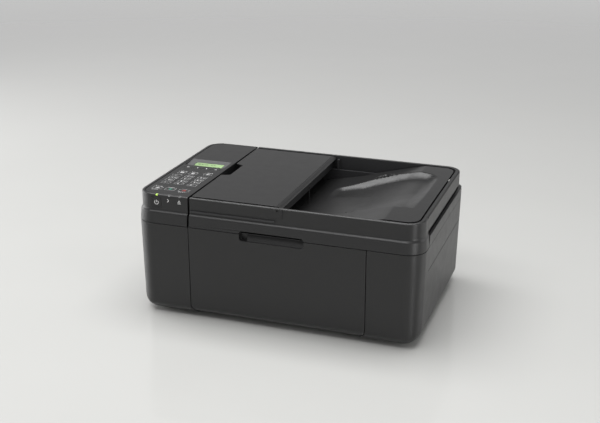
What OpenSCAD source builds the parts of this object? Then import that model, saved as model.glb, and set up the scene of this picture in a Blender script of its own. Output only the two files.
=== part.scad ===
// Office inkjet printer with scanner, document feeder and telephone keypad.
// Origin: middle of the footprint on the table. +X right, +Y back, +Z up.

/* [Overall size] */
// Width over the side covers
body_w = 435; // [400:1:560]
// Depth from the front cover to the rear cover
body_d = 295; // [280:1:380]
// Height from the table to the rim of the lid
body_h = 189; // [186:1:240]
// Radius of the upright corners
corner_r = 28; // [20:1:34]

/* [Casing] */
// Height of the seam between casing and scanner
lower_h = 145; // [140:1:146]
// Wall of the outer covers
wall = 2.6; // [2:0.1:3.4]
// Seam left open between neighbouring covers
seam = 0.4; // [0.3:0.05:0.6]
// Height of the rubber feet
foot_h = 4; // [3:0.5:8]
// Radius of a rubber foot
foot_r = 9; // [6:0.5:12]
// Width of the casing face left of the front cover
left_face_w = 86.5; // [84:0.5:96]
// Width of the casing face right of the front cover
right_face_w = 79; // [70:0.5:96]

/* [Front cover] */
// Thickness of the front cover
cover_t = 9; // [8:0.5:10]
// Height of the cover's lower edge
cover_z = 12.5; // [12:0.5:16]
// Width of the finger grip
grip_w = 98; // [60:1:140]
// Depth of the finger grip below the seam
grip_drop = 10.5; // [6:0.5:16]
// How far the finger grip cuts into the lid above the seam
grip_rise = 4.5; // [3:0.5:8]
// Width of the folding output support
support_w = 90; // [60:1:140]
// Length of the folding output support
support_len = 58; // [40:1:60]

/* [Scanner] */
// Height of the side band above the seam
band_h = 16; // [14:0.5:18]
// Thickness of the side band
band_t = 4.5; // [4:0.1:6]
// Length of the flatbed glass
glass_len = 298; // [280:1:300]
// Width of the flatbed glass
glass_w = 218; // [200:1:220]
// Thickness of the glass
glass_t = 3; // [2:0.5:4]
// Width of the scan bar
scan_bar_w = 18; // [12:1:22]

/* [Control panel] */
// Width of the control panel
panel_w = 85; // [84:0.5:95]
// Open gap between control panel and lid
panel_gap = 3; // [2:0.1:4]
// Gap round each key
key_gap = 0.35; // [0.3:0.05:0.5]

/* [Lid] */
// Inset of the upper tier at the sides
tier_side = 2.7; // [2:0.1:4]
// Inset of the upper tier at the front
tier_front = 5; // [4:0.5:6]
// Inset of the upper tier at the back
tier_rear = 10; // [9:0.5:14]
// Thickness of the lid's walls
lid_wall = 3; // [2.4:0.1:3.4]
// Thickness of the document tray that closes the feeder
flap_t = 2.6; // [2:0.1:3]
// Width of the document tray
flap_w = 133.5; // [120:0.5:140]
// Radius of the lid's hinge pins
hinge_pin_r = 3; // [2.5:0.1:3.2]

/* [Print engine] */
// Radius of the carriage guide shaft
shaft_r = 4; // [3:0.1:5]
// Radius of the feed roller's shaft
feed_shaft_r = 5; // [4:0.1:5.5]
// Radius of the output roller's shaft
out_shaft_r = 4; // [3:0.1:4.5]
// Radial clearance of shafts and pins in their bores
fit = 0.05; // [0.02:0.01:0.09]
// Gear module
gear_m = 1; // [1:0.1:1.1]
// Width of the print carriage
carriage_w = 92; // [80:1:100]
// Width of the widest paper
paper_w = 216; // [200:1:220]

/* [Hidden] */
$fn = 64;
far = 1000;
hw = body_w / 2;
hd = body_d / 2;
charcoal = [0.17, 0.17, 0.175];
satin_black = [0.12, 0.12, 0.125];
steel = [0.68, 0.69, 0.7];

// Plan lines
lid_x0 = -hw + panel_w + panel_gap;
panel_x1 = -hw + panel_w;
cover_x0 = -hw + left_face_w;
cover_x1 = hw - right_face_w;
cover_mid = (cover_x0 + cover_x1) / 2;
rear_half = hw - corner_r - 4;
lid_y0 = -hd + tier_front;
lid_y1 = hd - tier_rear;

// Heights
pan_top = foot_h + 3;
casing_top = lower_h - seam;
band_top = lower_h + band_h;
ledge_top = band_top + 5;
skirt_z = lower_h + seam;
deck_z = lower_h + 1;
deck_t = 4;
tub_z = deck_z - 21;
pad_z = deck_z + 0.4;
pad_t = 2;
base_z = pad_z + pad_t;
base_t = 1.6;
floor_z = base_z + base_t;

// Front cover hinge
cover_axis = [-hd + 7.5, cover_z + 4.5];
cover_pin_r = 3;
return_len = 26;

// Output support inside the front cover
grip_z = lower_h - grip_drop;
grip_x0 = -grip_w / 2 - 2;
grip_x1 = grip_w / 2 - 2;
support_axis = [-hd + cover_t + 2.2, grip_z - wall - 7];
support_pin_r = 1.2;
lug_half = 2;

// Rear sockets and vents
inlet_x = -hw + 70;
inlet_z = 30;
usb_x = hw - 60;
usb_z = 48;
jack_x = hw - 92;
jack_z = [40, 58];
jack_h = 13;
vent_reach = 90;
vent_pitch = 12;
vent_w = 5;
vent_z = [108, 128];

// Lid hinge
lid_axis = [hd - 15.5, band_top + 2];
hinge_x = [lid_x0 + 45, hw - 62];
knuckle_w = 14;
knuckle_r = 5;
ear_t = 4;

// Document tray hinge and feeder well
flap_x0 = lid_x0 + 0.4;
flap_axis = [lid_x0 + flap_w + 2.4, body_h - 3.5];
flap_pin_r = 1.6;
rim_front = lid_y0 + 8;
rim_rear = lid_y1 - 11;
well_z = body_h - 19;
pocket_x0 = flap_axis[0] - 4.2;
pocket_x1 = hw - 9.5;

// Flatbed
glass_x1 = hw - 11;
glass_x0 = glass_x1 - glass_len;
strip_x0 = lid_x0 + 8;
strip_x1 = glass_x0 - 6;
glass_y0 = -glass_w / 2 - 3;
glass_y1 = glass_y0 + glass_w;

// Feed roller of the document feeder
adf_xz = [lid_x0 + 62, body_h - 11];
adf_r = 6.5;
adf_pin_r = 2.5;
adf_half = 42;

// Document output tray: x and z places along its ramp, from its low end
tray_t = 2;
tray_low = floor_z + 0.4;
tray_rise = [[0, 0], [14, 2.5], [46, 9], [88, 20], [129, 30.5], [152, 35.5]];
ramp_scale = (body_h - 1 - tray_low - tray_t) / 35.5;

// Print engine
plate_t = 1.5;
plate_x = hw - 22.5;
feed_yz = [46, 50];
gear_n = 36;
pinion_n = 18;
mesh = gear_m * (gear_n + pinion_n) / 2 + 0.12;
motor_yz = [feed_yz[0] - mesh, feed_yz[1]];
out_yz = [feed_yz[0] - 2 * mesh, feed_yz[1]];
wheel_x = plate_x + 6;
gear_w = 7;
shaft_yz = [71, 84];
carriage_x1 = plate_x - 6;
carriage_z = 62;
belt_yz = [86.5, 96];
pulley_r = 7;
pulley_x = plate_x - 18;
belt_x1 = carriage_x1 - 8;
motor_r = 11;
screw_r = 1.5;
cartridge_w = (carriage_w - 18) / 2;
cartridge_h = 46;
motor_shaft_r = 2.5;
screw_head_t = 1.2;
bed_z = 22;
bed_w = paper_w + 8;
guide_t = 3;

// Keys: name, column place from the panel's left edge, place from the front, width, depth
key_top = body_h + 0.2;
KEY_COLS = [24.6, 46, 67.6];
key_row_0 = 60;
start_row = 32.5;
key_pitch = 12.4;
PAD = [["key_1", "key_2", "key_3"], ["key_4", "key_5", "key_6"],
       ["key_7", "key_8", "key_9"], ["key_star", "key_0", "key_hash"]];
KEYS = concat(
    [for (r = [0:3]) for (c = [0:2])
        [PAD[r][c], KEY_COLS[c], key_row_0 + (3 - r) * key_pitch, 15.5, 8.2]],
    [for (c = [0:3]) [["key_back", "key_left", "key_right", "key_ok"][c], 23.6 + 15.6 * c, 142, 12.6, 8]],
    [["key_menu", KEY_COLS[0] + 2, 112.5, 14, 11], ["key_setup", KEY_COLS[1] - 1, 112.5, 14, 11],
     ["key_mode", KEY_COLS[2] + 1, 116, 14, 9],
     ["key_black_start", KEY_COLS[0] - 0.5, start_row, 16.5, 11], ["key_color_start", KEY_COLS[1] - 1, start_row, 16.5, 11],
     ["key_stop", KEY_COLS[2] - 0.5, start_row, 16.5, 11]]);
power_xz = [-hw + 35.3, body_h - 12.2];
power_w = 15;
lcd_x = [-hw + 24.5, -hw + 72.5];
lcd_y = [-hd + 154.5, -hd + 172.5];
bezel_x = [-hw + 12, -hw + 79];
bezel_y = [lcd_y[0] - 2, lcd_y[1] + 12];
bezel_dip = 2.8;
bezel_tilt = atan(bezel_dip / (bezel_y[1] - bezel_y[0]));

// ---- helpers ----

// Outline of the printer seen from above, set in by the given amounts.
module plan(side = 0, front = 0, rear = 0) {
    r = corner_r - side;
    x = hw - side;
    y0 = -hd + front;
    y1 = hd - rear;
    translate([-x + r, y0]) square([2 * (x - r), y1 - y0]);
    translate([-x, y0 + r]) square([2 * x, y1 - y0 - 2 * r]);
    for (cx = [-x + r, x - r], cy = [y0 + r, y1 - r]) translate([cx, cy]) circle(r);
}

module slab(z0, z1) {
    translate([0, 0, z0]) linear_extrude(z1 - z0) children();
}

module area(x0, x1, y0, y1) {
    translate([x0, y0]) square([x1 - x0, y1 - y0]);
}

module block(x0, x1, y0, y1, z0, z1) {
    translate([x0, y0, z0]) cube([x1 - x0, y1 - y0, z1 - z0]);
}

// Round bar along X between two x places.
module bar_x(x0, x1, yz, r) {
    translate([x0, yz[0], yz[1]]) rotate([0, 90, 0]) cylinder(h = x1 - x0, r = r);
}

// Round bar along Y between two y places.
module bar_y(y0, y1, xz, r) {
    translate([xz[0], y1, xz[1]]) rotate([90, 0, 0]) cylinder(h = y1 - y0, r = r);
}

module bar_z(x, y, z0, z1, r) {
    translate([x, y, z0]) cylinder(h = z1 - z0, r = r);
}

// Toothed wheel along X with one tooth centred at the angle phase.
module gear_x(n, w, phase) {
    r = gear_m * n / 2;
    step = 360 / n;
    root = r - 1.2 * gear_m;
    tip = r + 0.8 * gear_m;
    rotate([0, 90, 0]) rotate([0, 0, phase]) linear_extrude(w) union() {
        circle(root + 0.2);
        for (i = [0:n - 1]) rotate(i * step) polygon([
            [root * cos(0.34 * step), -root * sin(0.34 * step)],
            [r, -r * sin(0.22 * step)],
            [tip, -tip * sin(0.12 * step)],
            [tip, tip * sin(0.12 * step)],
            [r, r * sin(0.22 * step)],
            [root * cos(0.34 * step), root * sin(0.34 * step)]]);
    }
}

// ---- casing ----

module base_pan() {
    color(satin_black) difference() {
        union() {
            slab(foot_h, pan_top) plan(wall + seam, wall + seam, wall + seam);
            block(cover_x0 + 6, cover_x1 - 6, -hd + 3, -hd + 14, foot_h, cover_axis[1] - 9.5);
            slab(foot_h + 2, bed_z) difference() {
                area(-bed_w / 2, bed_w / 2, -hd + 18, 95);
                area(-bed_w / 2 + 3, -1, -hd + 17, 92);
                area(1, bed_w / 2 - 3, -hd + 17, 92);
            }
            block(-bed_w / 2, bed_w / 2, -hd + 18, 95, bed_z - 2, bed_z);
        }
        for (p = foot_places()) bar_z(p[0], p[1], foot_h - 1, foot_h + 1.2, foot_r - 2 + fit);
        for (p = plate_screws()) bar_z(p[0], p[1], foot_h + 1, pan_top + 1, screw_r + 0.02);
    }
}

function foot_places() = [for (x = [-1, 1], y = [-1, 1]) [x * (hw - 40), y * (hd - 32)]];

module feet() {
    color([0.1, 0.1, 0.1]) for (p = foot_places()) {
        bar_z(p[0], p[1], 0, foot_h, foot_r);
        bar_z(p[0], p[1], 0, foot_h + 1, foot_r - 2);
    }
}

module casing_wall() {
    difference() {
        plan();
        plan(wall, wall, wall);
    }
}

// A side cover with its rounded corners and the wall it returns beside the front cover.
// side is -1 for the left one; edge is the x place of the front cover's end.
module side_cover(side, edge) {
    inner = edge + side * seam;
    difference() {
        union() {
            slab(foot_h, casing_top) intersection() {
                casing_wall();
                union() {
                    area(min(inner, side * far), max(inner, side * far), -far, 0);
                    area(min(side * (rear_half + seam), side * far), max(side * (rear_half + seam), side * far),
                         -1, far);
                }
            }
            slab(pan_top + seam, deck_z - deck_t - seam)
                area(min(inner, inner + side * wall), max(inner, inner + side * wall), -hd + 0.5, -hd + return_len);
        }
        bar_x(edge - 12, edge + 12, cover_axis, cover_pin_r + fit);
    }
}

module left_cover() {
    color(charcoal) side_cover(-1, cover_x0);
}

module right_cover() {
    color(charcoal) side_cover(1, cover_x1);
}

module rear_cover() {
    color(charcoal) difference() {
        slab(foot_h, casing_top) intersection() {
            casing_wall();
            area(-rear_half, rear_half, 0, far);
        }
        socket_openings();
        for (p = rear_screws()) {
            bar_y(hd - 1.6, hd + 1, p, 2 * screw_r + 0.2);
            bar_y(hd - 2 * wall, hd, p, screw_r + 0.1);
        }
        for (x = [-vent_reach:vent_pitch:vent_reach])
            block(x, x + vent_w, hd - 2 * wall, hd + 1, vent_z[0], vent_z[1]);
    }
}

module socket_openings() {
    block(inlet_x - 10, inlet_x + 10, hd - 2 * wall, hd + 1, inlet_z - 6, inlet_z + 6);
    block(usb_x - 6.5, usb_x + 6.5, hd - 2 * wall, hd + 1, usb_z - 6, usb_z + 6);
    for (z = jack_z) block(jack_x - 7, jack_x + 7, hd - 2 * wall, hd + 1, z, z + jack_h);
}

module front_cover() {
    x0 = cover_x0 + seam;
    x1 = cover_x1 - seam;
    y1 = -hd + cover_t;
    color(charcoal) {
        difference() {
            block(x0, x1, -hd, y1, cover_z, casing_top);
            block(x0 + wall, x1 - wall, -hd + wall, y1 + 1, cover_z + wall, grip_z - wall);
            block(x0 + wall, x1 - wall, -hd + wall, y1 - 1.6, grip_z - wall - 1, casing_top + 1);
            block(grip_x0, grip_x1, -hd - 1, y1 - 1.6, grip_z, casing_top + 1);
        }
        bar_x(x0 - 4, x0 + wall - 0.1, cover_axis, cover_pin_r);
        bar_x(x1 - wall + 0.1, x1 + 4, cover_axis, cover_pin_r);
        for (s = [-1, 1]) support_lug(cover_mid + s * (support_w / 2 + lug_half + seam));
    }
}

// One lug on the inner side of the front cover that holds a pin of the output support.
module support_lug(x) {
    difference() {
        block(x - lug_half, x + lug_half, -hd + wall - 0.5, support_axis[0] + 2.4, support_axis[1] - 3, support_axis[1] + 3);
        bar_x(x - lug_half - 1, x + lug_half + 1, support_axis, support_pin_r + fit);
    }
}

module output_support() {
    x0 = cover_mid - support_w / 2;
    x1 = cover_mid + support_w / 2;
    z1 = support_axis[1];
    color(satin_black) {
        block(x0, x1, support_axis[0] - 1.5, support_axis[0] + 1.5, z1 - support_len, z1 + 1);
        bar_x(x0 - 3, x1 + 3, support_axis, support_pin_r);
    }
}

// ---- print engine ----

module chassis() {
    color(steel) difference() {
        union() {
            block(-plate_x, plate_x, 92, 92 + plate_t, 40, tub_z - 0.5);
            for (x = [-plate_x, plate_x - plate_t])
                block(x, x + plate_t, out_yz[0] - 16, 92 + plate_t, pan_top, tub_z - 0.5);
            for (s = [-1, 1])
                block(s * plate_x - (s + 1) * 6, s * plate_x - (s - 1) * 6, 50, 92, pan_top, pan_top + plate_t);
            bar_y(belt_yz[0] - 3, 93, [belt_x1, belt_yz[1]], pulley_r);
        }
        bar_x(-far, far, shaft_yz, shaft_r + fit);
        bar_x(-far, far, feed_yz, feed_shaft_r + fit);
        bar_x(-far, far, out_yz, out_shaft_r + fit);
        bar_x(-far, 0, motor_yz, motor_shaft_r + fit);
        for (p = plate_screws()) bar_z(p[0], p[1], pan_top - 1, pan_top + 3, screw_r + 0.1);
        block(-40, 40, 91, 95, 50, 76);
    }
}

module guide_shaft() {
    color(steel) bar_x(-plate_x - 3, plate_x + 3, shaft_yz, shaft_r);
}

// The ribbed bed under the print heads, with the apron that printed sheets slide out on.
module platen() {
    w = paper_w + 4;
    y0 = out_yz[0] + 8;
    y1 = feed_yz[0] - 9;
    apron = out_yz[0] - 75;
    color(satin_black) {
        slab(50, 53) area(-w / 2, w / 2, y0, y1);
        for (i = [0:10]) slab(52.5, 56) translate([-w / 2 + 8 + i * (w - 16) / 10, 0]) area(-1, 1, y0 + 0.5, y1 - 0.5);
        for (s = [-1, 1]) slab(bed_z, 50.5) translate([s * (w / 2 - 3), 0]) area(-2, 2, y0 + 3, y1 - 3);
        slab(40, 43) area(-w / 2, w / 2, apron, y0 + 6);
        for (s = [-1, 1]) slab(42.5, 50.5) translate([s * (w / 2 - 3), 0]) area(-2, 2, y0 + 1, y0 + 5);
    }
}

module purge_unit() {
    x1 = plate_x - 8;
    x0 = x1 - 64;
    color([0.2, 0.2, 0.21]) difference() {
        union() {
            block(x0, x1, out_yz[0] + 9, feed_yz[0] - 9, pan_top, 50);
            for (x = [x0 + 8, x0 + 36]) block(x, x + 22, out_yz[0] + 14, feed_yz[0] - 14, 49, 57);
        }
        for (x = [x0 + 10, x0 + 38]) block(x, x + 18, out_yz[0] + 16, feed_yz[0] - 16, 52, 60);
    }
}

module main_board() {
    z = 34;
    color([0.1, 0.35, 0.2]) {
        block(hw - 130, hw - 32, 98, hd - wall - 8, z, z + 1.6);
        for (x = [hw - 126, hw - 40]) block(x, x + 5, 100, 105, pan_top, z);
    }
    color([0.75, 0.75, 0.77]) difference() {
        union() {
            block(usb_x - 6, usb_x + 6, hd - 24, hd - 1, usb_z - 5.5, usb_z + 5.5);
            block(usb_x - 5, usb_x + 5, hd - 23, hd - 14, z + 1, 44);
            block(jack_x - 6.5, jack_x + 6.5, hd - 24, hd - wall - 0.5, z + 1, 70.5);
            for (s = jack_z) block(jack_x - 6.5, jack_x + 6.5, hd - wall - 1, hd - 1.5, s + 0.5, s + jack_h - 0.5);
        }
        block(usb_x - 4.2, usb_x + 4.2, hd - 13, hd, usb_z - 4, usb_z + 4);
        for (s = jack_z) block(jack_x - 4.8, jack_x + 4.8, hd - 14, hd, s + 2, s + jack_h - 2);
    }
    color([0.05, 0.05, 0.05]) block(hw - 122, hw - 104, 108, 124, z + 1, z + 4);
}

module power_supply() {
    color([0.15, 0.15, 0.16]) difference() {
        union() {
            block(-hw + 32, -hw + 108, 98, hd - wall - 4, pan_top, 54);
            block(inlet_x - 9.5, inlet_x + 9.5, hd - 20, hd - 1.5, inlet_z - 5.5, inlet_z + 5.5);
        }
        for (s = [-1, 1]) bar_y(hd - 14, hd + 1, [inlet_x + s * 4, inlet_z], 3.2);
        bar_y(hd - 14, hd + 1, [inlet_x, inlet_z], 2.8);
    }
}

module drive_motors() {
    color([0.45, 0.45, 0.47]) {
        difference() {
            bar_x(-plate_x + plate_t, -plate_x + 34, motor_yz, motor_r);
            bar_x(-plate_x, -plate_x + 30, motor_yz, motor_shaft_r + fit);
        }
        bar_y(92 + plate_t, 122, [-pulley_x, belt_yz[1]], 14);
        bar_y(belt_yz[0] - 3, 91.6, [-pulley_x, belt_yz[1]], pulley_r);
    }
}

// The toothed belt: two straight runs and a half turn round each pulley.
module carriage_belt() {
    x0 = -pulley_x;
    x1 = belt_x1;
    r = pulley_r + 0.3;
    color([0.08, 0.08, 0.08]) translate([0, belt_yz[0] + 2.5, belt_yz[1]]) rotate([90, 0, 0])
        linear_extrude(5) difference() {
            union() {
                for (x = [x0, x1]) translate([x, 0]) circle(r + 1.2);
                translate([x0, -r - 1.2]) square([x1 - x0, 2 * r + 2.4]);
            }
            for (x = [x0, x1]) translate([x, 0]) circle(r);
            translate([x0, -r]) square([x1 - x0, 2 * r]);
        }
}

function cartridge_x(i) = carriage_x1 - carriage_w + 6 + i * (carriage_w - 10) / 2;

module carriage() {
    x0 = carriage_x1 - carriage_w;
    z1 = carriage_z + 56;
    clamp_z = belt_yz[1] - pulley_r - 3;
    color(satin_black) difference() {
        union() {
            block(x0, carriage_x1, shaft_yz[0] - 45, shaft_yz[0] + 8, carriage_z, z1);
            block(x0 + 30, x0 + 62, shaft_yz[0] + 7, belt_yz[0] + 2, clamp_z - 8, clamp_z + 1.2);
        }
        for (i = [0, 1])
            block(cartridge_x(i) - 0.3, cartridge_x(i) + cartridge_w + 0.3, shaft_yz[0] - 42, shaft_yz[0] - 7,
                  carriage_z + 4, z1 + 1);
        for (i = [0, 1])
            block(cartridge_x(i) + 6, cartridge_x(i) + cartridge_w - 6, shaft_yz[0] - 38, shaft_yz[0] - 20,
                  carriage_z - 1, z1);
        for (i = [0, 1])
            block(cartridge_x(i) + 2, cartridge_x(i) + cartridge_w - 2, shaft_yz[0] - 46, shaft_yz[0] - 30,
                  carriage_z + 14, z1 + 1);
        bar_x(-far, far, shaft_yz, shaft_r + fit);
    }
}

module cartridge(i, label) {
    x = cartridge_x(i);
    color(satin_black) {
        block(x, x + cartridge_w, shaft_yz[0] - 41.5, shaft_yz[0] - 7.5, carriage_z + 4.2, carriage_z + 4 + cartridge_h);
        block(x + 7, x + cartridge_w - 7, shaft_yz[0] - 37, shaft_yz[0] - 21, carriage_z - 2, carriage_z + 5);
    }
    color(label) block(x + 4, x + cartridge_w - 4, shaft_yz[0] - 38, shaft_yz[0] - 12, carriage_z + 3.9 + cartridge_h, carriage_z + 5 + cartridge_h);
}

module black_cartridge() {
    cartridge(1, [0.3, 0.3, 0.3]);
}

module color_cartridge() {
    cartridge(0, [0.2, 0.45, 0.75]);
}

module feed_roller() {
    color([0.35, 0.35, 0.36]) {
        bar_x(-wheel_x - gear_w + 1, plate_x + 3, feed_yz, feed_shaft_r);
        bar_x(-paper_w / 2, paper_w / 2, feed_yz, 6.5);
        translate([-wheel_x - gear_w, feed_yz[0], feed_yz[1]]) gear_x(gear_n, gear_w, 0);
    }
}

module output_roller() {
    color([0.35, 0.35, 0.36]) {
        bar_x(-wheel_x - gear_w + 1, plate_x + 3, out_yz, out_shaft_r);
        for (i = [0:4]) bar_x(-paper_w / 2 + 12 + i * 45, -paper_w / 2 + 26 + i * 45, out_yz, 6);
        translate([-wheel_x - gear_w, out_yz[0], out_yz[1]]) gear_x(gear_n, gear_w, 0);
    }
}

// The motor's own pinion and shaft, in mesh with both roller gears.
module motor_gear() {
    color([0.8, 0.79, 0.74]) {
        translate([-wheel_x - gear_w, motor_yz[0], motor_yz[1]]) gear_x(pinion_n, gear_w, 0);
        bar_x(-wheel_x - gear_w + 1, -plate_x + 28, motor_yz, motor_shaft_r);
    }
}

// One paper guide: an upright cheek on a foot that slides on the paper bed.
module paper_guide(side) {
    x = side * paper_w / 2;
    color([0.28, 0.28, 0.29]) {
        block(min(x, x + side * guide_t), max(x, x + side * guide_t), -hd + 60, -hd + 120, bed_z + 0.3, bed_z + 17);
        block(min(x, x - side * 24), max(x, x - side * 24), -hd + 72, -hd + 108, bed_z + 0.3, bed_z + 2.3);
    }
}

module paper_guide_left() {
    paper_guide(-1);
}

module paper_guide_right() {
    paper_guide(1);
}

function rear_screws() = [for (x = [-rear_half + 12, rear_half - 12], z = [66, 132]) [x, z]];
function plate_screws() = [for (x = [-plate_x + 6, plate_x - 6], y = [60, 84]) [x, y]];

// Screws of the rear cover, sunk in its face, and of the frame's flanges on the base pan.
module screws() {
    color([0.6, 0.6, 0.62]) {
        for (p = rear_screws()) {
            bar_y(hd - 0.4 - screw_head_t, hd - 0.4, p, 2 * screw_r);
            bar_y(hd - 10, hd - 1.5, p, screw_r);
        }
        for (p = plate_screws()) {
            bar_z(p[0], p[1], pan_top + plate_t, pan_top + plate_t + 2, 2 * screw_r);
            bar_z(p[0], p[1], foot_h + 1, pan_top + plate_t + 1, screw_r);
        }
    }
}

// ---- scanner ----

module glass_area(inset) {
    area(glass_x0 + inset, glass_x1 - inset, glass_y0 + inset, glass_y1 - inset);
    area(strip_x0 + inset, strip_x1 - inset, glass_y0 + inset, glass_y1 - inset);
}

module scanner_housing() {
    inner = wall + seam;
    color(charcoal) difference() {
        union() {
            slab(deck_z - deck_t, lower_h) plan(inner, inner, inner);
            slab(lower_h - 0.5, deck_z) intersection() {
                plan(inner + 0.5, inner + 1, inner);
                area(lid_x0, far, -far, far);
            }
            slab(lower_h, band_top) difference() {
                intersection() {
                    plan();
                    union() {
                        area(lid_x0, far, 0, far);
                        area(0, far, -hd + 43, 1);
                    }
                }
                plan(band_t, band_t, 7);
            }
            slab(tub_z, deck_z - 1) difference() {
                area(lid_x0 + 3, hw - 5.5, glass_y0 - 5, glass_y1 + 5);
                area(lid_x0 + 5, hw - 8, glass_y0 - 3, glass_y1 + 3);
            }
            slab(tub_z, tub_z + 2) area(lid_x0 + 3, hw - 5.5, glass_y0 - 5, glass_y1 + 5);
            block(lid_x0 + 4, hw - 7, -4, 4, tub_z + 1, tub_z + 6);
            for (x = hinge_x, s = [-1, 1]) lid_ear(x + s * (knuckle_w / 2 + ear_t / 2 + 0.3));
        }
        slab(deck_z - glass_t, deck_z + 1) glass_area(-0.15);
        slab(deck_z - 8, deck_z + 1) glass_area(1.5);
        block(cover_x0 - 1, cover_x1 + 1, -hd, -hd + cover_t + 1.2, deck_z - 5, lower_h);
    }
}

// One upright ear of a lid hinge, with the bore its stub pin turns in.
module lid_ear(x) {
    difference() {
        union() {
            bar_x(x - ear_t / 2, x + ear_t / 2, lid_axis, knuckle_r);
            block(x - ear_t / 2, x + ear_t / 2, lid_axis[0] - knuckle_r, lid_axis[0] + knuckle_r, deck_z - 1, lid_axis[1]);
        }
        bar_x(x - ear_t, x + ear_t, lid_axis, hinge_pin_r + fit);
    }
}

module scanner_glass() {
    color([0.7, 0.8, 0.8]) slab(deck_z - glass_t, deck_z) glass_area(0);
}

module scan_bar() {
    x = strip_x0 + 1;
    color(satin_black) difference() {
        union() {
            block(x, x + scan_bar_w, glass_y0, glass_y1, tub_z + 8.5, deck_z - 6);
            block(x, x + scan_bar_w, -9, 9, tub_z + 3, tub_z + 9);
            block(x + scan_bar_w / 2 - 3, x + scan_bar_w / 2 + 3, glass_y0 + 4, glass_y1 - 4, deck_z - 7, deck_z - 4.5);
        }
        block(x - 1, x + scan_bar_w + 1, -4.1, 4.1, tub_z, tub_z + 6.4);
    }
}

// ---- control panel ----

module panel_outline(side, front, rear) {
    intersection() {
        plan(side, front, rear);
        area(-far, panel_x1, -far, far);
    }
}

module panel_hollow(side, front, rear) {
    intersection() {
        plan(side, front, rear);
        area(-far, panel_x1 - lid_wall, -far, far);
    }
}

module control_panel() {
    t = 3.5;
    color(charcoal) difference() {
        union() {
            slab(lower_h, ledge_top) panel_outline(0, 0, 0);
            slab(ledge_top - 0.1, body_h) panel_outline(tier_side, tier_front, tier_rear);
        }
        slab(lower_h - 1, ledge_top - t) panel_hollow(t, t, t);
        slab(ledge_top - t - 1, body_h - 6.5) panel_hollow(tier_side + t, tier_front + t, tier_rear + t);
        slab(body_h - 7, body_h - 3) intersection() {
            plan(tier_side + t, tier_front + t, tier_rear + t);
            area(-far, panel_x1 - 4, -far, bezel_y[0] - 6);
        }
        for (k = KEYS) key_block(k, key_gap, body_h - 8, body_h + 1);
        power_block(key_gap, -hd, -hd + 12);
        translate([0, bezel_y[1], body_h]) rotate([bezel_tilt, 0, 0])
            block(bezel_x[0], bezel_x[1], bezel_y[0] - bezel_y[1], 0, 0, 10);
        lcd_block(0.2, -2.4, 1);
    }
}

module key_block(k, grow, z0, z1) {
    x = -hw + k[1];
    y = -hd + k[2];
    block(x - k[3] / 2 - grow, x + k[3] / 2 + grow, y - k[4] / 2 - grow, y + k[4] / 2 + grow, z0, z1);
}

module key_cap(k) {
    shade = k[0] == "key_stop" ? [0.35, 0.1, 0.1] : k[0] == "key_color_start" ? [0.1, 0.3, 0.25] : satin_black;
    color(shade) key_block(k, 0, body_h - 4.2, key_top);
}

module power_block(grow, y0, y1) {
    h = power_w / 2 + grow;
    block(power_xz[0] - h, power_xz[0] + h, y0, y1, power_xz[1] - h, power_xz[1] + h);
}

module power_button() {
    color(satin_black) power_block(0, lid_y0 - 0.2, lid_y0 + 5);
}

// The display's pocket or the display itself, lying in the plane of the tilted bezel.
module lcd_block(grow, z0, z1) {
    translate([0, bezel_y[1], body_h]) rotate([bezel_tilt, 0, 0])
        block(lcd_x[0] - grow, lcd_x[1] + grow, lcd_y[0] - bezel_y[1] - grow, lcd_y[1] - bezel_y[1] + grow, z0, z1);
}

module lcd_screen() {
    color([0.68, 0.8, 0.58]) lcd_block(0, -2.4, -0.4);
}

// ---- lid ----

module lid_outline(side, front, rear) {
    intersection() {
        plan(side, front, rear);
        area(lid_x0, far, -far, far);
    }
}

module lid_inside(side, front, rear) {
    intersection() {
        plan(side, front, rear);
        area(lid_x0 + lid_wall, far, -far, far);
    }
}

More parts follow.
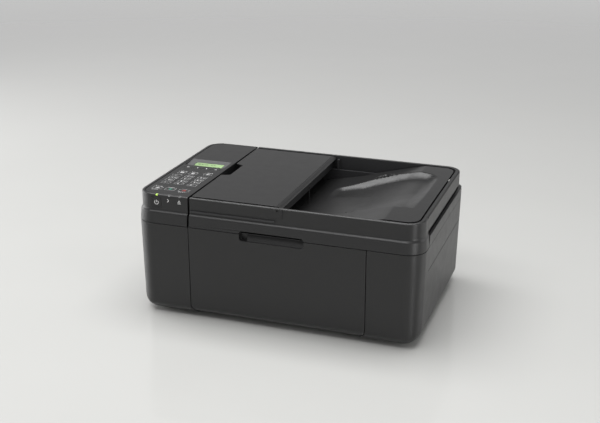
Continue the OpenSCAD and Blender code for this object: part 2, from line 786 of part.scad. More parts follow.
module lid_shell() {
    t = lid_wall;
    low = tier_side + t + 0.4;
    color(charcoal) difference() {
        union() {
            // skirt over the front and round the right front corner
            slab(skirt_z, ledge_top) intersection() {
                difference() {
                    lid_outline(0, 0, 0);
                    plan(t, t, t);
                }
                area(-far, far, -far, -hd + 42.5);
            }
            slab(band_top - 1, ledge_top) intersection() {
                difference() {
                    lid_outline(0, 0, 0);
                    plan(tier_side + t, tier_front + t, 0);
                }
                area(-far, far, -far, -hd + 42.5);
            }
            // upper tier
            slab(band_top + 7, body_h) difference() {
                lid_outline(tier_side, tier_front, tier_rear);
                lid_inside(tier_side + t, tier_front + t, tier_rear + t);
            }
            // inner wall that drops inside the scanner's band
            slab(floor_z, band_top + 7.1) difference() {
                lid_outline(low, tier_front, tier_rear + 13);
                lid_inside(low + t, tier_front + t, tier_rear + 16);
            }
            // flange that joins tier and inner wall
            slab(band_top + 7, band_top + 9) difference() {
                lid_outline(tier_side, tier_front, tier_rear);
                lid_inside(low + t, tier_front + t, tier_rear + 16);
            }
            // front and rear rims with the document tray's bearings
            slab(body_h - 7, body_h) intersection() {
                lid_outline(tier_side, tier_front, tier_rear);
                union() {
                    area(-far, far, -far, rim_front);
                    area(-far, far, rim_rear, far);
                    area(pocket_x1, far, -far, far);
                }
            }
            // feeder well
            slab(well_z - 2.5, well_z) area(lid_x0 + 1, pocket_x0, lid_y0 + 1, rim_rear + 4);
            slab(well_z - 1, body_h - 5) area(pocket_x0 - 2.5, pocket_x0, rim_front - 1, rim_rear + 1);
            for (y = [rim_front - 2.5, rim_rear])
                slab(floor_z, body_h - 1) area(lid_x0 + 1, pocket_x0, y, y + 2.5);
            for (s = [-1, 1]) adf_post(s);
        }
        slab(body_h - flap_t - 0.4, body_h + 1) area(-far, lid_x0 + lid_wall + 1, rim_front, rim_rear);
        slab(lower_h - 1, lower_h + grip_rise) area(grip_x0, grip_x1, -hd - 1, -hd + 4.5);
        block(pocket_x0, pocket_x1, rim_front, rim_rear, floor_z - 1, body_h + 1);
        hinge_clearance();
        bar_y(rim_front - 6, rim_rear + 6, flap_axis, flap_pin_r + fit);
    }
}

// Room that the lid's hinge barrels and the ears they turn in need.
module hinge_clearance() {
    half = knuckle_w / 2 + ear_t + 1.5;
    for (x = hinge_x)
        block(x - half, x + half, lid_axis[0] - 14, lid_axis[0] + 2.6, floor_z - 1, lid_axis[1] + knuckle_r + 2.2);
}

module adf_post(s) {
    y = s * adf_half;
    difference() {
        block(adf_xz[0] - 5, adf_xz[0] + 5, y - 2, y + 2, well_z - 1, adf_xz[1] + 5);
        bar_y(y - 3, y + 3, adf_xz, adf_pin_r + fit);
    }
}

module adf_roller() {
    color([0.3, 0.3, 0.31]) {
        bar_y(-adf_half - 3, adf_half + 3, adf_xz, adf_pin_r);
        for (y = [-30, 6]) bar_y(y, y + 24, adf_xz, adf_r);
    }
}

module document_guide(s) {
    y = s * 104;
    color([0.3, 0.3, 0.31]) {
        block(pocket_x0 - 48, pocket_x0 - 6, min(y, y + s * 3), max(y, y + s * 3), well_z + 0.3, well_z + 12);
        block(pocket_x0 - 40, pocket_x0 - 14, min(y, y - s * 20), max(y, y - s * 20), well_z + 0.3, well_z + 2.3);
    }
}

module document_guide_front() {
    document_guide(-1);
}

module document_guide_rear() {
    document_guide(1);
}

module lid_base() {
    low = tier_side + 2 * lid_wall + 0.8;
    color(charcoal) {
        slab(base_z, floor_z) difference() {
            lid_outline(low - lid_wall, tier_front, tier_rear + 13);
            for (x = hinge_x) area(x - knuckle_w / 2 - ear_t - 1.5, x + knuckle_w / 2 + ear_t + 1.5, lid_axis[0] - 8, far);
        }
        for (x = hinge_x) {
            block(x - knuckle_w / 2, x + knuckle_w / 2, lid_axis[0] - 12, lid_axis[0] - 2, base_z, base_z + 4);
            translate([x - knuckle_w / 2, 0, 0]) knuckle_web();
            bar_x(x - knuckle_w / 2, x + knuckle_w / 2, lid_axis, knuckle_r - 0.5);
            bar_x(x - knuckle_w / 2 - ear_t, x + knuckle_w / 2 + ear_t, lid_axis, hinge_pin_r);
        }
    }
}

// Web from the lid's base up to the hinge barrel.
module knuckle_web() {
    rotate([90, 0, 90]) linear_extrude(knuckle_w) polygon([
        [lid_axis[0] - 12, base_z], [lid_axis[0] - 2, base_z],
        [lid_axis[0] + 3, lid_axis[1] - 2], [lid_axis[0] - 4, lid_axis[1] + 1]]);
}

module platen_pad() {
    color([0.93, 0.93, 0.92]) slab(pad_z, base_z)
        area(strip_x0, glass_x1 - 1, glass_y0 + 2, glass_y1 - 2);
}

// The document output tray: a ramp that rises to the right and levels out, scooped in its middle.
function ramp(drop) = concat(
    [for (p = tray_rise) [pocket_x0 + 0.4 + p[0], tray_low + tray_t + p[1] * ramp_scale - drop]],
    [[pocket_x1 - 0.4, tray_low + tray_t + 35.5 * ramp_scale - drop]]);

module tray_sheet(y0, y1) {
    top = ramp(0);
    bottom = ramp(tray_t);
    translate([0, y1, 0]) rotate([90, 0, 0]) linear_extrude(y1 - y0)
        polygon(concat(top, [for (i = [len(bottom) - 1:-1:0]) bottom[i]]));
}

module output_tray() {
    y0 = rim_front + 0.4;
    y1 = rim_rear - 0.4;
    color(satin_black) {
        tray_sheet(y0, y1);
        for (y = [y0, y1 - 2]) difference() {
            block(pocket_x0 + 0.4, pocket_x1 - 0.4, y, y + 2, tray_low, body_h - 7.4);
            block(pocket_x0 - 1, pocket_x0 + 12, y - 1, y + 3, body_h - 10, body_h);
            hinge_clearance();
        }
    }
}

// The flat document tray over the feeder, with its finger notch and hinge edge.
module document_tray() {
    y0 = rim_front + 0.3;
    y1 = rim_rear - 0.3;
    z0 = body_h - flap_t;
    notch_y = [-hd + 121, -hd + 184];
    color(satin_black) {
        difference() {
            block(flap_x0, flap_axis[0] - 4, y0, y1, z0, body_h);
            translate([0, 0, z0 - 1]) linear_extrude(flap_t + 2) polygon([
                [flap_x0 - 1, notch_y[0]], [flap_x0, notch_y[0]], [flap_x0 + 13, notch_y[0] + 5],
                [flap_x0 + 13, notch_y[1] - 6], [flap_x0, notch_y[1]], [flap_x0 - 1, notch_y[1]]]);
        }
        translate([0, y1, 0]) rotate([90, 0, 0]) linear_extrude(y1 - y0) polygon([
            [flap_axis[0] - 4.1, z0], [flap_axis[0] - 4.1, body_h], [flap_axis[0] - 3, body_h],
            [flap_axis[0] + 3, flap_axis[1] + 1.2], [flap_axis[0] + 3, flap_axis[1] - 1], [flap_axis[0] - 2, flap_axis[1] - 2]]);
        bar_y(y0 - 4, y1 + 4, flap_axis, flap_pin_r);
    }
}

base_pan();
feet();
left_cover();
right_cover();
rear_cover();
front_cover();
output_support();
chassis();
guide_shaft();
platen();
purge_unit();
main_board();
power_supply();
drive_motors();
carriage_belt();
carriage();
black_cartridge();
color_cartridge();
feed_roller();
output_roller();
motor_gear();
paper_guide_left();
paper_guide_right();
screws();
scanner_housing();
scanner_glass();
scan_bar();
control_panel();
lcd_screen();
power_button();
lid_shell();
lid_base();
platen_pad();
output_tray();
document_tray();
adf_roller();
document_guide_front();
document_guide_rear();
for (k = KEYS) key_cap(k);
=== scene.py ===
"""Looks of an office inkjet printer, built round its CAD frame.

Lengths inside the builders are in millimetres.
"""

import math

import bmesh
import bpy
from mathutils import Matrix, Vector


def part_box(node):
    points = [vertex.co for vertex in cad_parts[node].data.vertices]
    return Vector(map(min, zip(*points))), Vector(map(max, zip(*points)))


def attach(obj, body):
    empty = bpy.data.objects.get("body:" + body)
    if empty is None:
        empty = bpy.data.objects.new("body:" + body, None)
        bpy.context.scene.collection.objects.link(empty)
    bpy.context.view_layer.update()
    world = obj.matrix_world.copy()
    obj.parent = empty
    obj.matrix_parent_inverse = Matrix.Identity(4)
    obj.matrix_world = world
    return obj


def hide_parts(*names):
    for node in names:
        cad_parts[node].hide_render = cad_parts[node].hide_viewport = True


bl_info = {
    "name": "Office printer looks",
    "version": (1, 0, 0),
    "blender": (4, 5, 0),
    "location": "3D View > Sidebar > Printer",
    "description": "Builds the covers, keys, trays and finishes of an inkjet printer round its CAD frame",
    "category": "Object",
}

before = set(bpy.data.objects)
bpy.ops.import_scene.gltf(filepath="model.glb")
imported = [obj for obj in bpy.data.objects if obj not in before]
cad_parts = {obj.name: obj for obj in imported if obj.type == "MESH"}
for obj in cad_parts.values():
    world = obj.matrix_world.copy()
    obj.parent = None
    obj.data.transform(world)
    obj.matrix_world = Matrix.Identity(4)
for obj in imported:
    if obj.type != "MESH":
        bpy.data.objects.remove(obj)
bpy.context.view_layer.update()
MM = 0.001
ARC_STEPS = 14


def spot(node):
    """Lowest and highest corner of a CAD node, in millimetres."""
    low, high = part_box(node)
    return [value / MM for value in low], [value / MM for value in high]


LEFT_LOW, LEFT_HIGH = spot("left_cover")
RIGHT_HIGH = spot("right_cover")[1]
COVER_LOW, COVER_HIGH = spot("front_cover")
REAR_LOW, REAR_HIGH = spot("rear_cover")
LID_LOW = spot("lid_shell")[0]
BASE_LOW = spot("lid_base")[0]
PANEL_LOW, PANEL_HIGH = spot("control_panel")
FLAP_LOW, FLAP_HIGH = spot("document_tray")
TRAY_LOW, TRAY_HIGH = spot("output_tray")
LCD_LOW, LCD_HIGH = spot("lcd_screen")
POWER_LOW, POWER_HIGH = spot("power_button")
HOUSING_HIGH = spot("scanner_housing")[1]
SUPPORT_LOW, SUPPORT_HIGH = spot("output_support")

HALF_W = RIGHT_HIGH[0]
HALF_D = REAR_HIGH[1]
TOP = PANEL_HIGH[2]
SEAM_Z = LEFT_HIGH[2]
WALL = 2.6
COVER_BACK = SUPPORT_LOW[1] - 0.7
SUPPORT_PIN = 3.0
SLIVER = 0.4
KEYS = [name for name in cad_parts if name.startswith("key_")]

# openings in the back, measured from the casing's sides
INLET_X = -HALF_W + 70
USB_X = HALF_W - 60
JACK_X = HALF_W - 92
JACK_LEVELS = (40, 58)
VENT_COUNT = 16
VENT_PITCH = 12
VENT_START = -90

# a rubber foot: height and radius round its moulded ring
FOOT_PROFILE = (
    (0.7, 3.9), (0.0, 4.3), (0.0, 7.9), (0.35, 8.6), (1.1, 9.0),
    (3.4, 9.0), (3.8, 8.7), (4.0, 7.0), (5.0, 7.0),
)
FOOT_SIDES = 40
FOOT_FROM_SIDE = 40
FOOT_FROM_BACK = 32


# ---- settings ----


def size(name, description, default, low=0.0, high=500.0):
    """A length in millimetres."""
    return bpy.props.FloatProperty(name=name, description=description, default=default, min=low, max=high)


def tint(name, description, default):
    """A linear colour."""
    return bpy.props.FloatVectorProperty(
        name=name, description=description, default=default, subtype="COLOR", size=3, min=0.0, max=1.0
    )


class CasingSettings(bpy.types.PropertyGroup):
    corner: size("Corner radius", "Radius of the upright corners, in mm", 28.0)
    side_round: size("Side rounding", "Radius of the lower edge at the sides, in mm", 19.0)
    front_round: size("Front rounding", "Radius of the lower edge at the front, in mm", 12.0)
    toe: size("Toe", "Height of the walls' lower edge above the floor pan, in mm", 2.2)
    taper: size("Taper", "How far the walls draw in from top to bottom, in mm", 2.6)
    cover_corner: size("Cover corner", "Radius of the front cover's lower corners, in mm", 9.0)
    grip_width: size("Grip width", "Width of the finger grip, in mm", 98.0)
    grip_low: size("Grip drop", "How far the finger grip reaches below the seam, in mm", 10.2)
    grip_high: size("Grip rise", "How far the finger grip reaches above the seam, in mm", 4.6)
    side_line: size("Side line", "Height of the groove along the side, in mm", 108.0)
    side_line_start: size("Side line start", "Distance from the front to the groove's end, in mm", 43.5)


class LidSettings(bpy.types.PropertyGroup):
    side_inset: size("Side inset", "Step of the upper tier at the sides, in mm", 2.7)
    front_inset: size("Front inset", "Step of the upper tier at the front, in mm", 5.0)
    rear_inset: size("Rear inset", "Step of the upper tier at the back, in mm", 10.0)
    skirt_lean: size("Skirt lean", "How far the skirt leans in below the ledge, in mm", 1.6)
    ledge_low: size("Ledge start", "Height where the ledge starts to curve in, in mm", 159.4)
    ledge_rise: size("Ledge rise", "Height of the ledge's curve, in mm", 7.4)
    rim_side: size("Side rim", "Inset of the rim's inner edge at the right, in mm", 9.3)
    scoop_depth: size("Scoop depth", "Depth of the output tray's scoop, in mm", 8.2)
    moon_depth: size("Finger cut depth", "Depth of the tray's half-moon cuts, in mm", 4.0)
    trim_split: size("Trim split", "Distance from the front to the joint in the lid's trim, in mm", 42.5)


class PanelSettings(bpy.types.PropertyGroup):
    border: size("Border", "Width of the rim round the keypad sheet, in mm", 9.4)
    display_dip: size("Display dip", "How far the display's front edge lies below the panel, in mm", 2.8)
    line: size("Outline width", "Width of the printed key outlines, in mm", 0.45)
    digit: size("Digit height", "Height of the digits on the keys, in mm", 5.4)


class FinishSettings(bpy.types.PropertyGroup):
    charcoal: tint("Charcoal", "Colour of the casing", (0.0150, 0.0150, 0.0152))
    panel: tint("Panel", "Colour of the control panel", (0.0135, 0.0135, 0.0137))
    tray: tint("Tray", "Colour of the document trays", (0.0135, 0.0135, 0.0137))
    inner: tint("Inner parts", "Colour of the mouldings inside", (0.020, 0.020, 0.021))
    grey: tint("Grey parts", "Colour of guides and caps inside", (0.19, 0.19, 0.2))
    key: tint("Keys", "Colour of the keys", (0.0115, 0.0115, 0.0117))
    bezel: tint("Display frame", "Colour of the frame round the display", (0.085, 0.085, 0.087))
    display: tint("Display", "Colour of the display", (0.27, 0.40, 0.19))
    ink: tint("Print", "Colour of the printed marks", (0.78, 0.78, 0.78))
    outline: tint("Outlines", "Colour of the key outlines", (0.42, 0.42, 0.42))
    go: tint("Start mark", "Colour of the colour start mark", (0.03, 0.30, 0.20))
    halt: tint("Stop mark", "Colour of the stop mark", (0.52, 0.05, 0.04))
    lamp: tint("Power lamp", "Colour of the lit power lamp", (0.62, 0.95, 0.12))


class StageSettings(bpy.types.PropertyGroup):
    floor: tint("Floor", "Colour of the floor", (0.56, 0.56, 0.545))
    ambient: tint("Ambient", "Colour of the even light all round", (0.40, 0.40, 0.40))
    backdrop: tint("Backdrop", "Colour behind the object", (0.78, 0.78, 0.77))
    lens: size("Lens", "Focal length of the camera, in mm", 62.98)


GROUPS = {"casing": CasingSettings, "lid": LidSettings, "panel": PanelSettings, "finish": FinishSettings}
GROUPS["stage"] = StageSettings


def setting(group):
    """The settings of one group."""
    return getattr(bpy.context.scene, "printer_" + group)


# ---- shader expressions ----


class Term:
    """A socket in one material's tree that takes part in expressions."""

    def __init__(self, tree, socket):
        self.tree = tree
        self.socket = socket

    def make(self, kind, settings, inputs, output=0):
        """Adds a node, sets it up, fills its sockets and gives back one of its outputs."""
        node = self.tree.nodes.new(kind)
        for key, value in settings.items():
            if key == "stops":
                set_stops(node.color_ramp, value)
            else:
                setattr(node, key, value)
        for key, value in inputs.items():
            if isinstance(value, Term):
                self.tree.links.new(value.socket, node.inputs[key])
            else:
                node.inputs[key].default_value = value
        return Term(self.tree, node.outputs[output])

    def maths(self, operation, first, second=0.0):
        return self.make("ShaderNodeMath", {"operation": operation}, {0: first, 1: second})

    def __add__(self, other):
        return self.maths("ADD", self, other)

    __radd__ = __add__

    def __sub__(self, other):
        return self.maths("SUBTRACT", self, other)

    def __rsub__(self, other):
        return self.maths("SUBTRACT", other, self)

    def __mul__(self, other):
        return self.maths("MULTIPLY", self, other)

    __rmul__ = __mul__

    def __pow__(self, other):
        return self.maths("POWER", self, other)

    def over(self, edge):
        return self.maths("GREATER_THAN", self, edge)

    def clipped(self):
        return self.make("ShaderNodeClamp", {}, {"Value": self})

    def mix(self, low, high):
        """Colour that goes from low to high as this value goes from 0 to 1."""
        return self.make(
            "ShaderNodeMix", {"data_type": "RGBA"}, {"Factor": self, 6: colour(low), 7: colour(high)}, 2
        )


def colour(value):
    """A colour with its alpha, or the term that stands for one."""
    return value if isinstance(value, Term) else (*value, 1.0)


def set_stops(ramp, stops):
    """Sets a ramp to grey stops."""
    for place, shade in stops:
        stop = ramp.elements[0] if place == stops[0][0] else ramp.elements.new(place)
        stop.position = place
        stop.color = (shade, shade, shade, 1.0)
    while len(ramp.elements) > len(stops):
        ramp.elements.remove(ramp.elements[-1])


class Finish:
    """One material: its shader node and the position on the object, in millimetres."""

    def __init__(self, name, rough=0.5, metal=0.0, shade=(0.5, 0.5, 0.5), **fixed):
        self.material = bpy.data.materials.new(name)
        self.material.use_nodes = True
        tree = self.material.node_tree
        self.shader = tree.nodes["Principled BSDF"]
        self.tree = tree
        self.root = Term(tree, None)
        self.set(**{"Roughness": rough, "Metallic": metal, "Base Color": shade})
        for key, value in fixed.items():
            self.set(**{key.replace("_", " "): value})
        place = self.root.make("ShaderNodeTexCoord", {}, {}, "Object")
        self.place = place.make("ShaderNodeVectorMath", {"operation": "SCALE"}, {0: place, "Scale": 1000.0})

    def set(self, **sockets):
        for key, value in sockets.items():
            if isinstance(value, Term):
                self.tree.links.new(value.socket, self.shader.inputs[key])
            elif isinstance(value, (tuple, list)) and len(value) == 3:
                self.shader.inputs[key].default_value = (*value, 1.0)
            else:
                self.shader.inputs[key].default_value = value

    def noise(self, pitch, detail=2.0, stretch=(1, 1, 1), rough=0.5):
        """Smooth noise whose grains are about pitch millimetres across."""
        spread = self.place.make(
            "ShaderNodeVectorMath", {"operation": "MULTIPLY"}, {0: self.place, 1: stretch}
        )
        inputs = {"Vector": spread, "Scale": 1.0 / pitch, "Detail": detail, "Roughness": rough}
        return self.root.make("ShaderNodeTexNoise", {}, inputs)

    def cells(self, pitch):
        """Distance to the middle of the nearest cell of a pebbled surface."""
        return self.root.make("ShaderNodeTexVoronoi", {}, {"Vector": self.place, "Scale": 1.0 / pitch})

    def axis(self, index):
        return self.root.make("ShaderNodeSeparateXYZ", {}, {"Vector": self.place}, index)

    def bump(self, height, strength, depth=0.05):
        normal = self.root.make(
            "ShaderNodeBump", {}, {"Strength": strength, "Distance": depth * MM, "Height": height}
        )
        self.set(Normal=normal)
        return self


FINISHES = {}


def finish_named(name):
    if name not in FINISHES:
        FINISHES[name] = RECIPES[name](name)
    return FINISHES[name].material


def moulded(shade, rough, grain=0.55, grain_depth=0.35, vary=0.10, **fixed):
    """Moulded plastic with an etched grain, slight clouding and uneven sheen."""

    def recipe(name):
        look = Finish(name, **fixed)
        base = getattr(setting("finish"), shade)
        cloud = look.noise(38.0, 3.0)
        fine = look.noise(grain * 0.8, 2.0)
        pebble = look.cells(grain)
        tone = ((cloud - 0.5) * vary + (fine - 0.5) * 0.16 + 0.5).clipped()
        dark = [value * 0.8 for value in base]
        light = [value * 1.2 for value in base]
        sheen = (look.noise(17.0, 2.0) - 0.5) * 0.10 + (fine - 0.5) * 0.08 + rough
        look.set(**{"Base Color": tone.mix(dark, light), "Roughness": sheen})
        look.bump(pebble * 0.7 + fine * 0.5, grain_depth, 0.04)
        return look

    return recipe


def inked(shade, rough=0.5):
    """Printed ink with slightly uneven cover."""

    def recipe(name):
        look = Finish(name)
        base = getattr(setting("finish"), shade)
        cover = look.noise(0.35, 2.0)
        look.set(
            **{
                "Base Color": cover.mix([value * 0.82 for value in base], base),
                "Roughness": cover * 0.1 + rough,
            }
        )
        return look

    return recipe


def steel(shade, rough, stretch):
    """Plated or ground steel with fine lines along one direction."""

    def recipe(name):
        look = Finish(name, metal=1.0)
        lines = look.noise(0.6, 3.0, stretch)
        spangle = look.noise(9.0, 2.0)
        tone = (lines * 0.5 + spangle * 0.5).clipped()
        look.set(**{"Base Color": tone.mix([value * 0.8 for value in shade], shade)})
        look.set(Roughness=(lines - 0.5) * 0.16 + (spangle - 0.5) * 0.12 + rough)
        return look.bump(lines, 0.12, 0.02)

    return recipe


def rubber(shade, ring=0.0):
    """Matt rubber, ground round its axis where it feeds paper."""

    def recipe(name):
        look = Finish(name)
        fine = look.noise(0.4, 3.0, (1.0 + ring, 1, 1))
        dust = look.noise(14.0, 2.0)
        tone = (fine * 0.5 + dust * 0.5).clipped()
        look.set(
            **{"Base Color": tone.mix([value * 0.75 for value in shade], [value * 1.3 for value in shade])}
        )
        look.set(Roughness=(fine - 0.5) * 0.12 + 0.82)
        return look.bump(fine, 0.4, 0.05)

    return recipe


def board_recipe(name):
    """Solder mask over copper tracks, with vias."""
    look = Finish(name, rough=0.38)
    tracks = look.root.make(
        "ShaderNodeTexBrick",
        {"offset": 0.37, "squash": 1.0},
        {"Vector": look.place, "Scale": 0.16, "Mortar Size": 0.03, "Brick Width": 1.3, "Row Height": 0.27},
        "Fac",
    )
    vias = 1 - look.cells(3.1).over(0.16)
    lines = tracks.mix((0.012, 0.10, 0.045), (0.028, 0.20, 0.085))
    look.set(**{"Base Color": vias.mix(lines, (0.55, 0.50, 0.30))})
    return look.bump(tracks, 0.3, 0.05)


def belt_recipe(name):
    """Toothed rubber belt, its colour lighter on the teeth and darker in the grooves: painted light and
    shade.
    """
    look = Finish(name, rough=0.7)
    teeth_relief_and_shade = look.root.make(
        "ShaderNodeTexWave", {"bands_direction": "X"}, {
            "Vector": look.place, "Scale": 0.155, "Distortion": 0.0
        }
    )
    # colour follows the tooth relief: painted light on the teeth, painted shade in the grooves
    look.set(**{"Base Color": teeth_relief_and_shade.mix((0.012, 0.012, 0.012), (0.045, 0.045, 0.045))})
    return look.bump(teeth_relief_and_shade, 0.8, 0.5)


def glass_recipe(name):
    """Flatbed glass over the dark well, with a faint smear."""
    look = Finish(name, rough=0.04)
    smear = look.noise(30.0, 3.0)
    look.set(**{"Base Color": smear.mix((0.018, 0.022, 0.022), (0.032, 0.038, 0.037))})
    look.set(Roughness=smear * 0.05 + 0.02)
    look.set(**{"Coat Weight": 1.0, "Coat Roughness": 0.02})
    return look


def display_recipe(name):
    """Lit display: a faint dot grid under its window, its colour darker towards the left end."""
    look = Finish(name, rough=0.3)
    base = setting("finish").display
    across = look.axis(0).maths("FRACT", look.axis(0) * 1.55)
    along = look.axis(1).maths("FRACT", look.axis(1) * 1.55)
    grid = across.over(0.86).maths("MAXIMUM", across.over(0.86), along.over(0.86))
    # colour ramps from darker at the display's left end to full at its right
    left_to_right_ramp = (look.axis(0) * (1.0 / 48.0) + 4.1).clipped()
    ramped_display = left_to_right_ramp.mix([value * 0.86 for value in base], [value * 1.08 for value in base])
    shown = (grid * 0.16).mix(ramped_display, (0.15, 0.22, 0.10))
    look.set(**{"Base Color": shown, "Emission Color": shown, "Emission Strength": 0.12})
    look.set(**{"Coat Weight": 0.6, "Coat Roughness": 0.08})
    return look


def lamp_recipe(name):
    look = Finish(name, rough=0.25)
    base = setting("finish").lamp
    core = look.noise(1.4, 1.0)
    look.set(**{"Base Color": core.mix([value * 0.85 for value in base], base)})
    look.set(**{"Emission Color": core.mix([value * 0.9 for value in base], base), "Emission Strength": 1.1})
    return look


def lens_recipe(name):
    """Unlit lamp window of frosted grey plastic."""
    look = Finish(name, rough=0.35)
    frost = look.noise(0.5, 2.0)
    look.set(**{"Base Color": frost.mix((0.16, 0.16, 0.16), (0.24, 0.24, 0.24))})
    return look


def pad_recipe(name):
    """White pressing sheet over foam."""
    look = Finish(name, rough=0.75)
    fine = look.noise(0.7, 3.0)
    look.set(**{"Base Color": fine.mix((0.74, 0.74, 0.73), (0.82, 0.82, 0.81))})
    return look.bump(fine, 0.25, 0.08)


def hollow_shade_recipe(name):
    """Dull black for deep gaps and socket wells: painted shade of these hollows, with slight random tone."""
    look = Finish(name, rough=0.85)
    # near-black base colour: painted shade of the hollow it lines
    look.set(**{"Base Color": look.noise(5.0).mix((0.004, 0.004, 0.004), (0.010, 0.010, 0.010))})
    return look


RECIPES = {
    "charcoal_plastic": moulded("charcoal", 0.39, Specular_IOR_Level=0.42),
    "panel_plastic": moulded("panel", 0.39, 0.4, 0.2, Specular_IOR_Level=0.44),
    "tray_plastic": moulded("tray", 0.33, 0.45, 0.2, Specular_IOR_Level=0.44),
    "inner_plastic": moulded("inner", 0.5, 0.8, 0.3),
    "grey_plastic": moulded("grey", 0.48, 0.7, 0.25),
    "key_plastic": moulded("key", 0.5, 0.3, 0.15),
    "bezel_plastic": moulded("bezel", 0.34, 0.4, 0.15),
    "print_ink": inked("ink"),
    "outline_ink": inked("outline"),
    "go_ink": inked("go"),
    "halt_ink": inked("halt"),
    "sheet_steel": steel((0.62, 0.63, 0.64), 0.36, (1, 0.2, 1)),
    "shaft_steel": steel((0.72, 0.72, 0.73), 0.18, (0.15, 1, 1)),
    "motor_steel": steel((0.50, 0.50, 0.51), 0.32, (0.2, 1, 1)),
    "screw_steel": steel((0.35, 0.35, 0.36), 0.34, (1, 1, 0.4)),
    "rubber_feet": rubber((0.018, 0.018, 0.018)),
    "roller_rubber": rubber((0.055, 0.055, 0.057), 3.0),
    "gear_plastic": lambda name: gear_recipe(name),
    "belt_rubber": belt_recipe,
    "circuit_board": board_recipe,
    "glass": glass_recipe,
    "display": display_recipe,
    "lamp_lit": lamp_recipe,
    "lamp_dark": lens_recipe,
    "white_sheet": pad_recipe,
    "void_black": hollow_shade_recipe,
}


def gear_recipe(name):
    """Acetal: milky, slightly waxy."""
    look = Finish(name, rough=0.4, Subsurface_Weight=0.1)
    cloud = look.noise(6.0, 2.0)
    look.set(**{"Base Color": cloud.mix((0.62, 0.61, 0.55), (0.72, 0.71, 0.66))})
    return look


# ---- mesh helpers ----


def as_object(name, work):
    """Makes an object from mesh data in millimetres."""
    bmesh.ops.remove_doubles(work, verts=work.verts, dist=0.0005)
    bmesh.ops.recalc_face_normals(work, faces=work.faces)
    bmesh.ops.scale(work, vec=(MM, MM, MM), verts=work.verts)
    mesh = bpy.data.meshes.new(name)
    work.to_mesh(mesh)
    work.free()
    thing = bpy.data.objects.new(name, mesh)
    bpy.context.scene.collection.objects.link(thing)
    return thing


def plan_point(where, value, side, front, rear):
    """Point on the printer's rounded outline, drawn in by the given insets."""
    radius = max(setting("casing").corner - side, 0.5)
    x1 = HALF_W - side
    y0 = front - HALF_D
    y1 = HALF_D - rear
    if where == "front":
        return value, y0
    if where == "rear":
        return value, y1
    if where == "right":
        return x1, value
    if where == "left":
        return -x1, value
    turn = math.radians(value)
    reach = radius * math.sin(turn)
    drop = radius * math.cos(turn)
    if where == "front_right":
        return x1 - radius + reach, y0 + radius - drop
    if where == "rear_right":
        return x1 - radius + drop, y1 - radius + reach
    if where == "rear_left":
        return -x1 + radius - reach, y1 - radius + drop
    return -x1 + radius - drop, y0 + radius - reach


def bend(where):
    return [(where, 90.0 * step / ARC_STEPS) for step in range(ARC_STEPS + 1)]


def sweep(name, route, section):
    """A closed section of (height, side, front, rear insets) carried along part of the outline."""
    work = bmesh.new()
    rings = []
    for where, value in route:
        ring = []
        for height, side, front, rear in section:
            x, y = plan_point(where, value, side, front, rear)
            ring.append(work.verts.new((x, y, height)))
        rings.append(ring)
    count = len(section)
    for ring, after in zip(rings, rings[1:]):
        for i in range(count):
            j = (i + 1) % count
            work.faces.new((ring[i], ring[j], after[j], after[i]))
    work.faces.new(rings[0])
    work.faces.new(list(reversed(rings[-1])))
    return as_object(name, work)


def rounded(x0, x1, y0, y1, radius, corners="abcd", steps=6):
    """Outline of a rectangle; corners named a, b, c, d from low left, counter-clockwise, are rounded."""
    points = []
    for letter, cx, cy, start in (
        ("a", x0, y0, 180),
        ("b", x1, y0, 270),
        ("c", x1, y1, 0),
        ("d", x0, y1, 90),
    ):
        if letter not in corners:
            points.append((cx, cy))
            continue
        mx = cx + radius if cx == x0 else cx - radius
        my = cy + radius if cy == y0 else cy - radius
        for step in range(steps + 1):
            turn = math.radians(start + 90 * step / steps)
            points.append((mx + radius * math.cos(turn), my + radius * math.sin(turn)))
    return points


def extruded(name, outline, low, high, plane="xy", cuts=(), warp=None):
    """An outline pushed along the third axis.

    cuts are levels on the outline's second axis where faces are split.
    """
    work = bmesh.new()
    put = {
        "xy": lambda u, v, w: (u, v, w),
        "xz": lambda u, v, w: (u, w, v),
        "yz": lambda u, v, w: (w, u, v),
    }[plane]
    face = work.faces.new([work.verts.new(put(u, v, low)) for u, v in outline])
    grown = bmesh.ops.extrude_face_region(work, geom=[face])["geom"]
    moved = [item for item in grown if isinstance(item, bmesh.types.BMVert)]
    bmesh.ops.translate(work, vec=put(0, 0, high - low), verts=moved)
    for level in cuts:
        geometry = work.verts[:] + work.edges[:] + work.faces[:]
        bmesh.ops.bisect_plane(work, geom=geometry, plane_co=put(0, level, 0), plane_no=put(0, 1, 0))
    if warp:
        for vert in work.verts:
            vert.co = warp(vert.co)
    return as_object(name, work)


def blocks(name, sizes):
    """Several boxes (x0, x1, y0, y1, z0, z1) in one mesh."""
    work = bmesh.new()
    for x0, x1, y0, y1, z0, z1 in sizes:
        centre = Matrix.Translation(((x0 + x1) / 2, (y0 + y1) / 2, (z0 + z1) / 2))
        bmesh.ops.create_cube(work, size=1.0, matrix=centre @ Matrix.Diagonal((x1 - x0, y1 - y0, z1 - z0, 1)))
    return as_object(name, work)


def rod(name, start, end, radius, tip=None, steps=32):
    """A round bar between two points."""
    a, b = Vector(start), Vector(end)
    work = bmesh.new()
    turn = (b - a).to_track_quat("Z", "Y").to_matrix().to_4x4()
    bmesh.ops.create_cone(
        work,
        cap_ends=True,
        segments=steps,
        radius1=radius,
        radius2=radius if tip is None else tip,
        depth=(b - a).length,
        matrix=Matrix.Translation((a + b) / 2) @ turn,
    )
    return as_object(name, work)


def baked(thing):
    """Applies the modifiers of an object to its mesh."""
    bpy.context.view_layer.update()
    graph = bpy.context.evaluated_depsgraph_get()
    mesh = bpy.data.meshes.new_from_object(thing.evaluated_get(graph))
    thing.modifiers.clear()
    thing.data = mesh
    return thing


def carve(thing, tool, operation="DIFFERENCE", tangled=True):
    """Cuts, joins or intersects thing with tool and throws the tool away."""
    change = thing.modifiers.new("carve", "BOOLEAN")
    change.operation = operation
    change.solver = "EXACT"
    change.use_self = tangled
    change.object = tool
    baked(thing)
    bpy.data.objects.remove(tool)
    return thing


